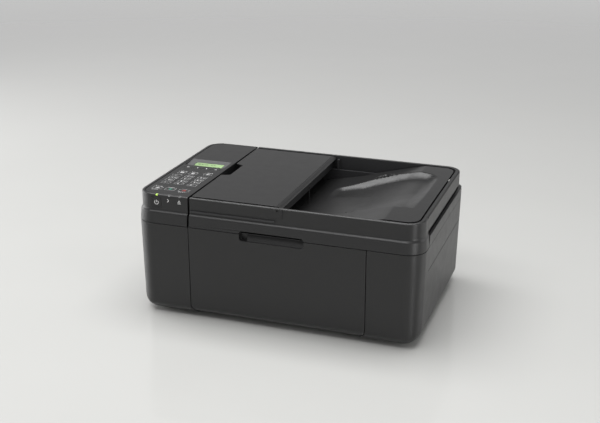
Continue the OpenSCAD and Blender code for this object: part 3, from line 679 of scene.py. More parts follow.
def joined(things, name):
    """One object from several."""
    work = bmesh.new()
    for thing in things:
        work.from_mesh(thing.data)
        bpy.data.objects.remove(thing)
    bmesh.ops.scale(work, vec=(1 / MM,) * 3, verts=work.verts)
    return as_object(name, work)


def soften(thing, width, steps=2, angle=34.0):
    """Rounds the hard edges and evens out the shading."""
    for polygon in thing.data.polygons:
        polygon.use_smooth = True
    if width:
        edge = thing.modifiers.new("edges", "BEVEL")
        edge.width = width * MM
        edge.segments = steps
        edge.limit_method = "ANGLE"
        edge.angle_limit = math.radians(angle)
        edge.use_clamp_overlap = True
        edge.harden_normals = False
    even = thing.modifiers.new("shading", "WEIGHTED_NORMAL")
    even.weight = 60
    even.keep_sharp = True
    return thing


def dress(thing, finish, body, replaces=(), edge=0.35, steps=2):
    """Finishes a piece: edges, material, body and the CAD nodes it stands for."""
    if edge is not None:
        soften(thing, edge, steps)
    thing.data.materials.clear()
    thing.data.materials.append(finish_named(finish))
    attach(thing, body)
    if replaces:
        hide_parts(*replaces)
    return thing


# ---- casing ----


def lower_inset(height, radius):
    """How far the casing's wall is drawn in at a height: a slight taper and a rounded lower edge."""
    look = setting("casing")
    floor = LEFT_LOW[2] + look.toe
    draw = look.taper * (SEAM_Z - height) / (SEAM_Z - floor)
    up = max(height - floor, 0.0)
    if up < radius:
        draw += radius - math.sqrt(max(radius**2 - (radius - up) ** 2, 0.0))
    return draw


def casing_section(wall):
    """Closed section of the casing's wall, from its lower edge up and back down inside."""
    look = setting("casing")
    floor = LEFT_LOW[2] + look.toe
    heights = [
        floor + look.side_round * (1 - math.cos(math.radians(turn)))
        for turn in (24, 36, 48, 60, 72, 82, 90)
    ]
    heights += [34, 60, 90, 120, SEAM_Z]

    def insets(height, extra):
        side = lower_inset(height, look.side_round) + extra
        front = lower_inset(height, look.front_round) + extra
        return height, side, front, front

    outer = [insets(height, 0.0) for height in heights]
    inner = [insets(height, wall) for height in reversed(heights)]
    return outer + inner


def front_edges():
    """Left and right ends of the side covers beside the front cover."""
    return COVER_LOW[0] + 4 - 2 * SLIVER, COVER_HIGH[0] - 4 + 2 * SLIVER


def side_line_tool(side):
    """Thin cutter along the groove on one side."""
    look = setting("casing")
    start = ("right", look.side_line_start - HALF_D)
    end = ("rear", REAR_HIGH[0])
    route = [start] + bend("rear_right") + [end]
    if side < 0:
        route = [("left", look.side_line_start - HALF_D)]
        route += [("rear_left", 90 - value) for _, value in bend("rear_left")] + [("rear", REAR_LOW[0])]
    low, high = look.side_line - 0.45, look.side_line + 0.45
    deep = lower_inset(look.side_line, 1.0) + 0.9
    section = [(low, -2, -2, -2), (high, -2, -2, -2), (high, deep, deep, deep), (low, deep, deep, deep)]
    return sweep("tool", route, section)


def build_side_covers():
    """Left and right covers with their grooves and the ends beside the front cover."""
    left_end, right_end = front_edges()
    rear_x = REAR_HIGH[0] + SLIVER + 0.2
    section = casing_section(WALL)
    corner_round = setting("casing").cover_corner
    sill = COVER_LOW[2]
    for side, node, edge in ((-1, "left_cover", left_end), (1, "right_cover", right_end)):
        if side < 0:
            route = [("rear", -rear_x)] + bend("rear_left") + bend("front_left") + [("front", edge)]
        else:
            route = [("front", edge)] + bend("front_right") + bend("rear_right") + [("rear", rear_x)]
        cover = sweep(node + "_shell", route, section)
        # the wall returned beside the front cover, and the toe under its rounded lower corner
        y0 = -HALF_D + lower_inset(70, 1.0) + WALL
        wall = blocks(
            "wall", [(min(edge, edge + side * WALL), max(edge, edge + side * WALL), y0, y0 + 22, 14, 140)]
        )
        toe_outline = [(edge + 0.02 * side, LEFT_LOW[2] + 1.2)]
        steps = 7
        for step in range(steps + 1):
            turn = math.radians(90 * step / steps)
            x = edge - side * corner_round * (1 - math.cos(turn)) * 1.0
            z = sill + corner_round * (1 - math.sin(turn)) - 1.4
            toe_outline.append((x, z))
        toe_outline.append((edge - side * corner_round, LEFT_LOW[2] + 1.2))
        front_round = setting("casing").front_round
        toe = extruded(
            "toe",
            toe_outline,
            -HALF_D,
            -HALF_D + 3.2,
            "xz",
            [6, 7.5, 9, 10.5],
            lambda co: Vector((co.x, co.y + lower_inset(co.z, front_round), co.z)),
        )
        carve(cover, side_line_tool(side))
        cover = joined([cover, wall, toe], node + "_shell")
        dress(cover, "charcoal_plastic", "printer", [node], 0.45)


def build_rear_cover():
    """Rear cover with vents, sunk screws and its socket openings."""
    section = casing_section(WALL)
    end = REAR_HIGH[0]
    cover = sweep("rear_cover_shell", [("rear", end), ("rear", 60), ("rear", -60), ("rear", -end)], section)
    cuts = []
    y0, y1 = HALF_D - 8, HALF_D + 2
    for step in range(VENT_COUNT):
        x = VENT_START + VENT_PITCH * step
        cuts.append(extruded("t", rounded(x, x + 5, 108, 128, 2.4, steps=4), y0, y1, "xz"))
    cuts.append(extruded("t", rounded(INLET_X - 10, INLET_X + 10, 24, 36, 3, steps=4), y0, y1, "xz"))
    cuts.append(extruded("t", rounded(USB_X - 6.5, USB_X + 6.5, 42, 54, 1, steps=2), y0, y1, "xz"))
    for z in JACK_LEVELS:
        cuts.append(extruded("t", rounded(JACK_X - 7, JACK_X + 7, z, z + 13, 0.8, steps=2), y0, y1, "xz"))
    for x in (-end + 12, end - 12):
        for z in (66, 132):
            cuts.append(rod("t", (x, HALF_D - 1.9, z), (x, y1, z), 3.4))
    carve(cover, joined(cuts, "tools"))
    # a shallow field round the sockets
    field = extruded("t", rounded(USB_X - 46, USB_X + 16, 32, 80, 4), HALF_D - 2.35, HALF_D + 2, "xz")
    carve(cover, field)
    line = []
    for z in (90, 146 - 8):
        line.append((-end + 26, end - 26, HALF_D - 0.9, HALF_D + 2, z - 0.4, z + 0.4))
    carve(cover, blocks("t", line))
    dress(cover, "charcoal_plastic", "printer", ["rear_cover"], 0.35)


def build_sockets():
    """Linings and contacts of the data, telephone and mains sockets."""
    USB_X, JACK_X, INLET_X = HALF_W - 60, HALF_W - 92, -HALF_W + 70
    y0, y1 = HALF_D - 11.0, HALF_D - 2.45
    shell = extruded("data_socket_shell", rounded(USB_X - 6.2, USB_X + 6.2, 42.3, 53.7, 1.6), y0, y1, "xz")
    carve(shell, extruded("t", rounded(USB_X - 4.3, USB_X + 4.3, 43.9, 52.1, 1.3), y0 + 1, y1 + 1, "xz"))
    dress(shell, "sheet_steel", "printer", (), 0.2)
    tongue = blocks("data_socket_tongue", [(USB_X - 2.6, USB_X + 2.6, y0, y1 - 1.5, 46.4, 49.6)])
    dress(tongue, "white_sheet", "printer", (), 0.25)
    jacks = []
    contacts = []
    for z in JACK_LEVELS:
        jack = extruded("jack", rounded(JACK_X - 6.7, JACK_X + 6.7, z + 0.3, z + 12.7, 0.6), y0, y1, "xz")
        jacks.append(
            carve(jack, blocks("t", [(JACK_X - 4.9, JACK_X + 4.9, y0 + 1, y1 + 1, z + 3, z + 10.5)]))
        )
        contacts += [
            (JACK_X + 1.3 * i - 0.3, JACK_X + 1.3 * i + 0.3, y0 + 0.8, y1 - 1, z + 9.6, z + 10.7)
            for i in (-2, -1, 0, 1, 2)
        ]
    # socket linings in near-black: painted shade of the deep socket hollows
    dress(joined(jacks, "phone_sockets"), "void_black", "printer", (), 0.2)
    dress(blocks("phone_contacts", contacts), "screw_steel", "printer", (), None)
    pins = [rod("pin", (x, y0, 30), (x, y1 - 1.2, 30), 1.2, 1.0) for x in (INLET_X - 4, INLET_X + 4)]
    dress(joined(pins, "inlet_pins"), "shaft_steel", "printer", (), 0.2)


def build_base():
    """Floor pan drawn in to follow the rounded lower edges, with the ribbed paper bed."""
    look = setting("casing")
    low = LEFT_LOW[2]
    route = [("front", 0.0)] + bend("front_right") + bend("rear_right") + [("rear", 0.0)]
    route += bend("rear_left") + bend("front_left") + [("front", -0.001)]

    def level(height, extra):
        side = lower_inset(height, look.side_round) + extra
        front = lower_inset(height, look.front_round) + extra
        return height, side + 2.0, front + 4.0, front + 2.0

    section = [level(height, WALL + 0.3) for height in (low + 0.4, low + 3.0, low + 4.4)]
    section += [(low + 4.4, 100, 100, 100), (low + 0.4, 100, 100, 100)]
    rim = sweep("base_pan_floor", route, section)
    middle = blocks("floor", [(-118, 118, -48, 48, low + 0.4, low + 4.4)])
    bed_low, bed_high = -112.0, 112.0
    bed = [(bed_low, bed_high, -129.5, 95, 20, 22)]
    bed += [(x, x + 3, -129.5, 95, 6, 20.5) for x in (bed_low, -1.5, bed_high - 3)]
    bed += [(bed_low, bed_high, 92, 95, 6, 20.5)]
    ribs = [(x - 0.6, x + 0.6, -124, 90, 21.8, 22.25) for x in range(-96, 97, 16)]
    pan = joined([rim, middle, blocks("bed", bed + ribs)], "base_pan_moulding")
    dress(pan, "inner_plastic", "printer", ["base_pan"], 0.3)


def build_feet():
    """Four rubber feet with a rounded lower edge and a moulded ring."""
    work = bmesh.new()
    for x in (-1, 1):
        for y in (-1, 1):
            centre = Vector((x * (HALF_W - FOOT_FROM_SIDE), y * (HALF_D - FOOT_FROM_BACK), 0))
            loops = []
            for height, radius in FOOT_PROFILE:
                loop = []
                for step in range(FOOT_SIDES):
                    turn = math.tau * step / FOOT_SIDES
                    place = centre + Vector((radius * math.cos(turn), radius * math.sin(turn), height))
                    loop.append(work.verts.new(place))
                loops.append(loop)
            for loop, after in zip(loops, loops[1:]):
                for i in range(FOOT_SIDES):
                    j = (i + 1) % FOOT_SIDES
                    work.faces.new((loop[i], loop[j], after[j], after[i]))
            work.faces.new(loops[0])
            work.faces.new(loops[-1])
    dress(as_object("rubber_feet_set", work), "rubber_feet", "printer", ["feet"], 0.2)


def build_screws():
    """Countersunk cross-head screws at the back and flanged ones on the base."""
    things = []
    cross = []
    end = REAR_HIGH[0]
    for x in (-end + 12, end - 12):
        for z in (66, 132):
            things.append(rod("s", (x, HALF_D - 10, z), (x, HALF_D - 1.7, z), 1.5))
            things.append(rod("s", (x, HALF_D - 1.9, z), (x, HALF_D - 0.9, z), 3.0, 2.6))
            cross.append((x - 1.7, x + 1.7, HALF_D - 1.3, HALF_D, z - 0.35, z + 0.35))
            cross.append((x - 0.35, x + 0.35, HALF_D - 1.3, HALF_D, z - 1.7, z + 1.7))
    plate_x = HALF_W - 22.5
    for x in (-plate_x + 6, plate_x - 6):
        for y in (60, 84):
            things.append(rod("s", (x, y, 5.2), (x, y, 8.6), 1.5))
            things.append(rod("s", (x, y, 8.5), (x, y, 10.4), 3.0, 2.5))
            cross.append((x - 1.7, x + 1.7, y - 0.35, y + 0.35, 9.8, 12))
            cross.append((x - 0.35, x + 0.35, y - 1.7, y + 1.7, 9.8, 12))
    screws = joined(things, "screw_set")
    carve(screws, blocks("t", cross))
    dress(screws, "screw_steel", "printer", ["screws"], 0.12)


# ---- front cover ----


def build_front_cover():
    """Front cover with rounded lower corners, finger grip, hollow back, ribs and hinge pins."""
    look = setting("casing")
    x0, x1 = COVER_LOW[0] + 4 + 0.15, COVER_HIGH[0] - 4 - 0.15
    z0 = COVER_LOW[2] - 1.0
    outline = rounded(x0, x1, z0, COVER_HIGH[2], look.cover_corner, "ab", 8)
    levels = [12, 12.6, 13.4, 14.4, 15.5, 17, 19, 22, 30, 60, 100, 130]

    def follow(co):
        return Vector(
            (
                co.x,
                co.y + lower_inset(co.z, look.front_round + 2.0) * (1.0 if co.y < -HALF_D + 4 else 0.0),
                co.z,
            )
        )

    cover = extruded("front_cover_shell", outline, -HALF_D, COVER_BACK, "xz", levels, follow)
    grip_z = SEAM_Z - look.grip_low
    hollow = rounded(x0 + WALL, x1 - WALL, z0 + WALL + 3, grip_z - WALL, 6, "ab")
    carve(cover, extruded("t", hollow, -HALF_D + WALL + 0.6, COVER_BACK + 2, "xz"))
    upper = [
        (x0 + WALL, -look.grip_width / 2 - 6, -HALF_D + WALL + 0.4, COVER_BACK - 1.6, grip_z - WALL - 1, 150),
    ]
    upper.append(
        (look.grip_width / 2 + 2, x1 - WALL, -HALF_D + WALL + 0.4, COVER_BACK - 1.6, grip_z - WALL - 1, 150)
    )
    carve(cover, blocks("t", upper))
    left, right = -look.grip_width / 2 - 2, look.grip_width / 2 - 2
    pocket = rounded(left, right, grip_z, 160, 4.6, "ab")
    # the grip's floor leans back as it rises
    carve(cover, extruded("t", pocket, -HALF_D - 2, COVER_BACK - 1.2, "xz"))
    parts = [cover]
    back = COVER_BACK - 1.0
    lean = [
        (-HALF_D + 2.0, grip_z + 0.2), (back, grip_z + 0.2), (back, SEAM_Z - 0.4),
        (-HALF_D + 7.3, SEAM_Z - 0.4),
    ]
    parts.append(extruded("lean", lean, left + 11.5, right - 0.6, "yz"))
    pin_y, pin_z = COVER_LOW[1] + 7.5, COVER_LOW[2] + 4.5
    parts.append(rod("pin", (COVER_LOW[0], pin_y, pin_z), (x0 + WALL - 0.2, pin_y, pin_z), 3.0))
    parts.append(rod("pin", (x1 - WALL + 0.2, pin_y, pin_z), (COVER_HIGH[0], pin_y, pin_z), 3.0))
    ribs = []
    for step in range(1, 8):
        x = x0 + step * (x1 - x0) / 8
        if abs(x - (x0 + x1) / 2) > 50:
            ribs.append((x - 0.6, x + 0.6, -HALF_D + 3.0, COVER_BACK - 1.5, 20, 128))
    parts.append(blocks("ribs", ribs))
    axis_z = SUPPORT_HIGH[2] - 1.1
    for x in (SUPPORT_LOW[0] + 0.6, SUPPORT_HIGH[0] - 0.6):
        lug = blocks("lug", [(x - 2, x + 2, -HALF_D + WALL, COVER_HIGH[1], axis_z - 3, axis_z + 3)])
        axis_y = (SUPPORT_LOW[1] + SUPPORT_HIGH[1]) / 2
        carve(lug, rod("t", (x - 3, axis_y, axis_z), (x + 3, axis_y, axis_z), 1.4))
        parts.append(lug)
    whole = joined(parts, "front_cover_shell")
    dress(whole, "charcoal_plastic", "front_cover", ["front_cover"], 0.4)


def build_output_support():
    """Folding output support: a ribbed leaf with a rounded free edge and two pins."""
    low, high = SUPPORT_LOW, SUPPORT_HIGH
    axis_y, axis_z = (low[1] + high[1]) / 2, high[2] - 1.1
    leaf = rounded(low[0] + SUPPORT_PIN, high[0] - SUPPORT_PIN, low[2], high[2] - 0.1, 6, "ab")
    plate = extruded("leaf", leaf, axis_y - 1.4, axis_y + 1.4, "xz")
    slots = []
    for step in range(5):
        x = low[0] + 16 + step * (high[0] - low[0] - 32) / 4
        slots.append(
            extruded(
                "t", rounded(x - 3.5, x + 3.5, low[2] + 9, axis_z - 9, 3), low[1] - 3, axis_y - 0.2, "xz"
            )
        )
    carve(plate, joined(slots, "t"))
    pins = rod("pins", (low[0], axis_y, axis_z), (high[0], axis_y, axis_z), 1.05)
    dress(
        joined([plate, pins], "output_support_leaf"),
        "inner_plastic",
        "output_support",
        ["output_support"],
        0.3,
    )


# ---- lid ----


def tier(fraction, more=0.0):
    """Insets part of the way to the upper tier, plus a further step inwards."""
    look = setting("lid")
    return (
        look.side_inset * fraction + more,
        look.front_inset * fraction + more,
        look.rear_inset * fraction + more,
    )


LEDGE = ((0.0, 0.0), (0.14, 0.02), (0.26, 0.09), (0.36, 0.2), (0.45, 0.36), (0.54, 0.55), (0.64, 0.74))
LEDGE += ((0.76, 0.89), (0.88, 0.97), (1.0, 1.0))


def skirt_line(low):
    """Outer line of a face with the ledge half way up, from its lower edge to the foot of the tier."""
    look = setting("lid")
    lean = look.skirt_lean
    line = [(low, 0.0, 0.0, 0.0), (low + 4, lean * 0.1, lean * 0.24, lean * 0.24)]
    for up, into in LEDGE:
        side, front, rear = tier(into, lean * (1 - into))
        line.append((look.ledge_low + up * look.ledge_rise, side - 0.4 * lean * (1 - into), front, rear))
    return line


def rim_insets():
    look = setting("lid")
    return look.rim_side, FLAP_LOW[1] + HALF_D - 0.2, HALF_D - FLAP_HIGH[1] - 0.6


def top_round(reach=3.2):
    """The rounded upper edge, from the tier's face to its flat top."""
    line = []
    for turn in (0, 18, 36, 54, 72, 90):
        out = reach * (1 - math.cos(math.radians(turn)))
        up = reach * 0.85 * math.sin(math.radians(turn))
        line.append((TOP - reach * 0.85 + up, *tier(1.0, out)))
    return line


def inner_return(low_line):
    """Inner side of the trim, down from the rim's inner edge to the given lower points."""
    rim = rim_insets()
    return [(TOP, *rim), (TOP - 12, *rim), (TOP - 13.5, *tier(1.0, 3.0))] + low_line


def build_lid_trims():
    """The lid's outer band, front and rear, and its rims."""
    look = setting("lid")
    casing = setting("casing")
    split = look.trim_split - HALF_D
    start = LID_LOW[0]
    section = skirt_line(SEAM_Z + 2 * SLIVER) + top_round()
    section += inner_return([(TOP - 22, *tier(1.0, 3.0)), (160, 3, 3, 3), (SEAM_Z + 2 * SLIVER, 3, 3, 3)])
    route = (
        [("front", start), ("front", start + 4), ("front", 60.0)]
        + bend("front_right")
        + [("right", split)]
    )
    front = sweep("lid_front_trim", route, section)
    left, right = -casing.grip_width / 2 - 2, casing.grip_width / 2 - 2
    notch = rounded(left, right, 120, SEAM_Z + casing.grip_high, 4.6, "cd")
    carve(front, extruded("t", notch, -HALF_D - 2, -HALF_D + 4.8, "xz"))
    dress(front, "charcoal_plastic", "lid", (), 0.4)
    # right and rear trim, with the thin parting line along its outer edge
    foot = HOUSING_HIGH[2]
    foot = max(168.0, foot)
    section = [
        (foot, *tier(1.0)), (foot + 4, *tier(1.0)), (TOP - 1.1, *tier(1.0)), (TOP - 0.5, *tier(1.0, 0.2)),
    ]
    section += [(TOP - 0.3, *tier(1.0, 0.5)), (TOP - 0.3, *tier(1.0, 0.75)), (TOP - 1.2, *tier(1.0, 0.95))]
    section += [(TOP - 1.2, *tier(1.0, 1.35)), (TOP - 0.2, *tier(1.0, 1.5)), (TOP, *tier(1.0, 1.9))]
    section += inner_return([(foot, *tier(1.0, 3.0))])
    route = (
        [("right", split + 0.35)]
        + bend("rear_right")
        + [("rear", 60.0), ("rear", start + 4), ("rear", start)]
    )
    rear = sweep("lid_rear_trim", route, section)
    dress(rear, "charcoal_plastic", "lid", ["lid_shell"], 0.25)


def build_lid_inside():
    """The feeder's well, the pocket's walls and the ring that drops inside the scanner's band."""
    front_y, rear_y = FLAP_LOW[1] - 0.3, FLAP_HIGH[1] + 0.3
    left = LID_LOW[0]
    pocket = TRAY_LOW[0] - 0.4
    base = BASE_LOW[2] + 1.6
    well = TOP - 19
    # ring
    inset = setting("lid").side_inset + 3.4
    section = [
        (base, inset, 5.2, 23), (TOP - 20.5, inset, 5.2, 23), (TOP - 20.5, inset + 3, 8.2, 26),
        (base, inset + 3, 8.2, 26),
    ]
    route = [("front", left + 0.4)] + bend("front_right") + bend("rear_right") + [("rear", left + 0.4)]
    ring = sweep("ring", route, section)
    parts = [
        (left + 0.3, left + 3.0, -141.5, 122, base, well),
        (left + 0.3, left + 3.0, -141.5, front_y + 0.3, well, TOP - 3.2),
        (left + 0.3, left + 3.0, rear_y - 0.3, 136, well, TOP - 3.2),
        (left + 0.3, left + 3.0, front_y, rear_y, well - 1, TOP - 14),
        (TRAY_HIGH[0] - 9, TRAY_HIGH[0] + 2, front_y + 14, rear_y - 14, TOP - 22.5, TOP - 20.8),
        (left + 1, pocket, front_y - 6, rear_y + 4, well - 2.5, well),
        (pocket - 2.5, pocket, front_y - 1, rear_y + 1, well - 1, TOP - 5),
        (left + 1, pocket, front_y - 2.5, front_y, base, TOP - 1),
        (left + 1, pocket, rear_y, rear_y + 2.5, base, TOP - 1),
        (pocket - 0.5, TRAY_HIGH[0] - 14, front_y - 2.3, front_y - 0.1, base, TOP - 0.8),
        (pocket - 0.5, TRAY_HIGH[0] - 14, rear_y + 0.1, rear_y + 2.3, base, TOP - 0.8),
        (TRAY_HIGH[0] + 0.8, TRAY_HIGH[0] + 3.2, front_y + 16, rear_y - 16, base, TOP - 4),
    ]
    # stop post and hinge block in the pocket
    parts.append((pocket + 5.8, pocket + 7.0, -9.0, -7.8, base, TOP - 9.2))
    parts.append((pocket + 9.8, pocket + 12.8, rear_y - 7.2, rear_y + 0.4, base, TOP - 4.5))
    # ribs that guide the sheets over the well's floor
    for step in range(9):
        y = front_y + 26 + step * (rear_y - front_y - 52) / 8
        parts.append((pocket - 52, pocket - 3, y - 0.6, y + 0.6, well - 0.2, well + 0.25))
    posts = []
    roller_low, roller_high = spot("adf_roller")
    axis_x, axis_z = (roller_low[0] + roller_high[0]) / 2, (roller_low[2] + roller_high[2]) / 2
    for side in (-1, 1):
        post = extruded(
            "post",
            rounded(axis_x - 5, axis_x + 5, well - 1, axis_z + 5, 4, "cd"),
            side * 42 - 2,
            side * 42 + 2,
            "xz",
        )
        carve(post, rod("t", (axis_x, side * 42 - 4, axis_z), (axis_x, side * 42 + 4, axis_z), 2.6))
        posts.append(post)
    cover = joined([ring, blocks("walls", parts)] + posts, "lid_inner_frame")
    room = []
    for x in (LID_LOW[0] + 45, HALF_W - 62):
        room.append((x - 12.5, x + 12.5, 117.5, 134.6, base - 2, 170.4))
    axis_z = FLAP_LOW[2] + 2.0
    carve(cover, blocks("t", room))
    dress(cover, "inner_plastic", "lid", (), 0.3)
    # bearing cheeks of the document tray's hinge, one at each end
    pivot_x = FLAP_HIGH[0] - 3
    pivot_z = TOP - 3.5
    cheeks = []
    for y0, y1 in ((front_y - 5.5, front_y - 0.2), (rear_y + 0.2, rear_y + 5.5)):
        outline = rounded(pivot_x - 6, pivot_x + 7, TOP - 14, TOP - 0.6, 3.2, "cd")
        cheek = extruded("cheek", outline, y0, y1, "xz")
        carve(cheek, rod("t", (pivot_x, y0 - 1, pivot_z), (pivot_x, y1 + 1, pivot_z), 1.7))
        cheeks.append(cheek)
    dress(joined(cheeks, "tray_hinge_cheeks"), "charcoal_plastic", "lid", (), 0.3)


def eased(value):
    value = min(max(value, 0.0), 1.0)
    return value * value * (3 - 2 * value)


def along(points, x):
    """Straight-line reading of a list of (x, value)."""
    if x <= points[0][0]:
        return points[0][1]
    for (x0, v0), (x1, v1) in zip(points, points[1:]):
        if x <= x1:
            return v0 + (v1 - v0) * (x - x0) / (x1 - x0)
    return points[-1][1]


RAMP = (
    (-4, 0), (13, 2.9), (47, 9.4), (72, 16.2), (89, 20.6), (113, 26.7), (130, 31.2), (150, 36.4), (160, 38.1),
    (168, 38.4),
)
SCOOP_REAR = (
    (28, 58), (34, 65), (48, 70), (68, 78), (84, 86), (117, 95), (136, 96), (158, 93), (174, 88), (184, 82),
    (192, 70),
)


MOONS = (((82, 86), (118, 95)), ((84, -80), (116, -73)))


def ramp_height(x):
    """Height of the tray's ramp above its low end, smoothed; x from the tray's left edge."""
    reads = [along(RAMP, x + step * 2.2) for step in range(-3, 4)]
    return sum(reads) / len(reads)


def moon(x, y, chord, bulge):
    """How far a point lies inside a half-moon over a chord, in mm; negative outside."""
    (ax, ay), (bx, by) = chord
    length = math.hypot(bx - ax, by - ay)
    ux, uy = (bx - ax) / length, (by - ay) / length
    forward = (x - ax) * ux + (y - ay) * uy - length / 2
    up = -(x - ax) * uy + (y - ay) * ux
    radius = (length**2 / 4 + bulge**2) / (2 * bulge)
    return min(radius - math.hypot(forward, up - bulge + radius), up)


def bow(chord, bulge, steps=14):
    """Points of a shallow bow over the middle of a chord."""
    start, end = Vector(chord[0]), Vector(chord[1])
    rise = Vector((start.y - end.y, end.x - start.x)).normalized()
    points = []
    for step in range(steps + 1):
        part = 0.12 + 0.76 * step / steps
        points.append(tuple(start.lerp(end, part) + rise * bulge * (1 - (2 * part - 1) ** 2)))
    return points


def tray_height(x, y):
    """Height of the output tray's surface: a ramp with a scoop and two half-moon finger cuts."""
    look = setting("lid")
    base = ramp_height(x)
    rear = along(SCOOP_REAR, x)
    start = 0.5 * eased((x - 25) / 16) * (0.1 + 0.9 * eased((y - 5) / 55))
    depth = look.scoop_depth * min(start + eased((x - 30) / 85), 1.0)
    depth *= 1 - eased((x - 166) / 27)
    wall = min(max((rear - y) / (9 + 6 * eased((x - 28) / 50)), 0.0), 1.0)
    cove = 1 - (1 - wall) ** 1.4
    front = eased((y + 76) / 5) * (0.45 + 0.55 * eased((y + 76) / 90))
    height = base - depth * cove * front
    inside = max(moon(x, y, MOONS[0], 17), moon(x, y, MOONS[1], 14))
    return height - look.moon_depth * eased(inside / 2.4)


def build_output_tray():
    """Document output tray: a height field cut to an outline with rounded right corners."""
    x0, x1 = TRAY_LOW[0] - 1.6, TRAY_HIGH[0] - 2.0
    y0, y1 = TRAY_LOW[1] + 0.3, TRAY_HIGH[1] - 0.2
    pitch = 1.5
    across, deep = int((x1 - x0 + 4) / pitch), int((y1 - y0 + 4) / pitch)
    base = TRAY_LOW[2] + 1.0
    work = bmesh.new()
    tops, bottoms = [], []
    for i in range(across + 1):
        x = x0 - 2 + i * pitch
        top_row, low_row = [], []
        for j in range(deep + 1):
            y = y0 - 2 + j * pitch
            height = base + tray_height(x - TRAY_LOW[0], y)
            top_row.append(work.verts.new((x, y, min(height, TOP - 0.2))))
            low_row.append(work.verts.new((x, y, max(min(height, TOP - 0.2) - 2.2, TRAY_LOW[2] - 0.1))))
        tops.append(top_row)
        bottoms.append(low_row)
    for grid in (tops, bottoms):
        for a, b in zip(grid, grid[1:]):
            for j in range(deep):
                work.faces.new((a[j], a[j + 1], b[j + 1], b[j]))
    for j in range(deep):
        work.faces.new((tops[0][j], tops[0][j + 1], bottoms[0][j + 1], bottoms[0][j]))
        work.faces.new((tops[-1][j], tops[-1][j + 1], bottoms[-1][j + 1], bottoms[-1][j]))
    for i in range(across):
        work.faces.new((tops[i][0], tops[i + 1][0], bottoms[i + 1][0], bottoms[i][0]))
        work.faces.new((tops[i][-1], tops[i + 1][-1], bottoms[i + 1][-1], bottoms[i][-1]))
    tray = as_object("output_tray_sheet", work)
    radius = setting("casing").corner - setting("lid").rim_side - 1.6
    carve(tray, extruded("t", rounded(x0, x1, y0, y1, radius, "bc", 12), 100, 260), "INTERSECT", False)
    slots = []
    for chord, outer, inner in ((MOONS[0], 15.4, 13.6), (MOONS[1], 12.4, 8.6)):
        outline = bow(chord, outer) + list(reversed(bow(chord, inner)))[1:-1]
        slots.append(extruded("t", [(x + TRAY_LOW[0], y) for x, y in outline], 100, 260))
    carve(tray, joined(slots, "t"), "DIFFERENCE", False)
    dress(tray, "tray_plastic", "lid", ["output_tray"], 0.45)


def build_document_tray():
    """Flat document tray with its finger notch and the bevelled strip along its hinge."""
    x0, x1 = FLAP_LOW[0], FLAP_HIGH[0] - 7.0
    y0, y1 = FLAP_LOW[1] + 4, FLAP_HIGH[1] - 4
    y0, y1 = max(y0, -HALF_D + 13.3), min(y1, HALF_D - 21.3)
    low = TOP - 2.6
    notch0, notch1 = -HALF_D + 121, -HALF_D + 184
    outline = [
        (x0, y0), (x1, y0), (x1, y1), (x0, y1), (x0, notch1), (x0 + 11, notch1 - 5),
        (x0 + 12.5, notch1 - 5.6),
    ]
    outline += [
        (x0 + 13, notch1 - 7), (x0 + 13, notch0 + 6.5), (x0 + 12.4, notch0 + 5.2), (x0 + 11, notch0 + 4.4),
        (x0, notch0),
    ]
    plate = extruded("document_tray_plate", outline, low, TOP)
    ribs = []
    for step in range(7):
        y = y0 + 22 + step * (y1 - y0 - 44) / 6
        ribs.append((x0 + 22, x1 - 12, y - 0.7, y + 0.7, low - 0.25, low + 0.4))
    plate = joined([plate, blocks("ribs", ribs)], "document_tray_plate")
    dress(plate, "tray_plastic", "document_tray", ["document_tray"], 0.4)
    axis_x, axis_z = FLAP_HIGH[0] - 3, TOP - 3.5
    line = [
        (x1 + 0.25, low), (x1 + 0.25, TOP - 0.35), (x1 + 0.8, TOP - 0.05), (x1 + 2.4, TOP - 0.35),
        (x1 + 4.2, TOP - 1.1),
    ]
    line += [
        (x1 + 5.8, TOP - 2.3), (x1 + 6.8, TOP - 3.7), (x1 + 6.9, TOP - 4.7), (x1 + 5.4, TOP - 5.4),
        (x1 + 2, TOP - 5.4),
    ]
    strip = extruded("strip", line, -y1, -y0, "xz", (), lambda co: Vector((co.x, -co.y, co.z)))
    pins = rod("pins", (axis_x, y0 - 4, axis_z), (axis_x, y1 + 4, axis_z), 1.55)
    dress(joined([strip, pins], "document_tray_hinge_strip"), "tray_plastic", "document_tray", (), 0.3)


# ---- control panel ----


def key_rect(node):
    """Left, right, front and back edge of a key."""
    low, high = spot(node)
    return low[0], high[0], low[1], high[1]


def bezel_frame():
    """Display frame: its x and y limits and its tilt."""
    x0, x1 = PANEL_LOW[0] + 12.0, PANEL_LOW[0] + 79.0
    y0, y1 = LCD_LOW[1] - 2.0, LCD_HIGH[1] + 12.0
    return x0, x1, y0, y1, math.atan(setting("panel").display_dip / (y1 - y0))


def tilted(co, drop=0.0):
    """Moves a point into the plane of the tilted display frame."""
    _, _, _, y1, tilt = bezel_frame()
    return Vector((co.x, co.y, co.z - max(y1 - co.y, 0.0) * math.tan(tilt) - drop))


def lay(thing):
    """Moves a whole mesh into the plane of the tilted display frame."""
    for vert in thing.data.vertices:
        vert.co = tilted(vert.co / MM) * MM


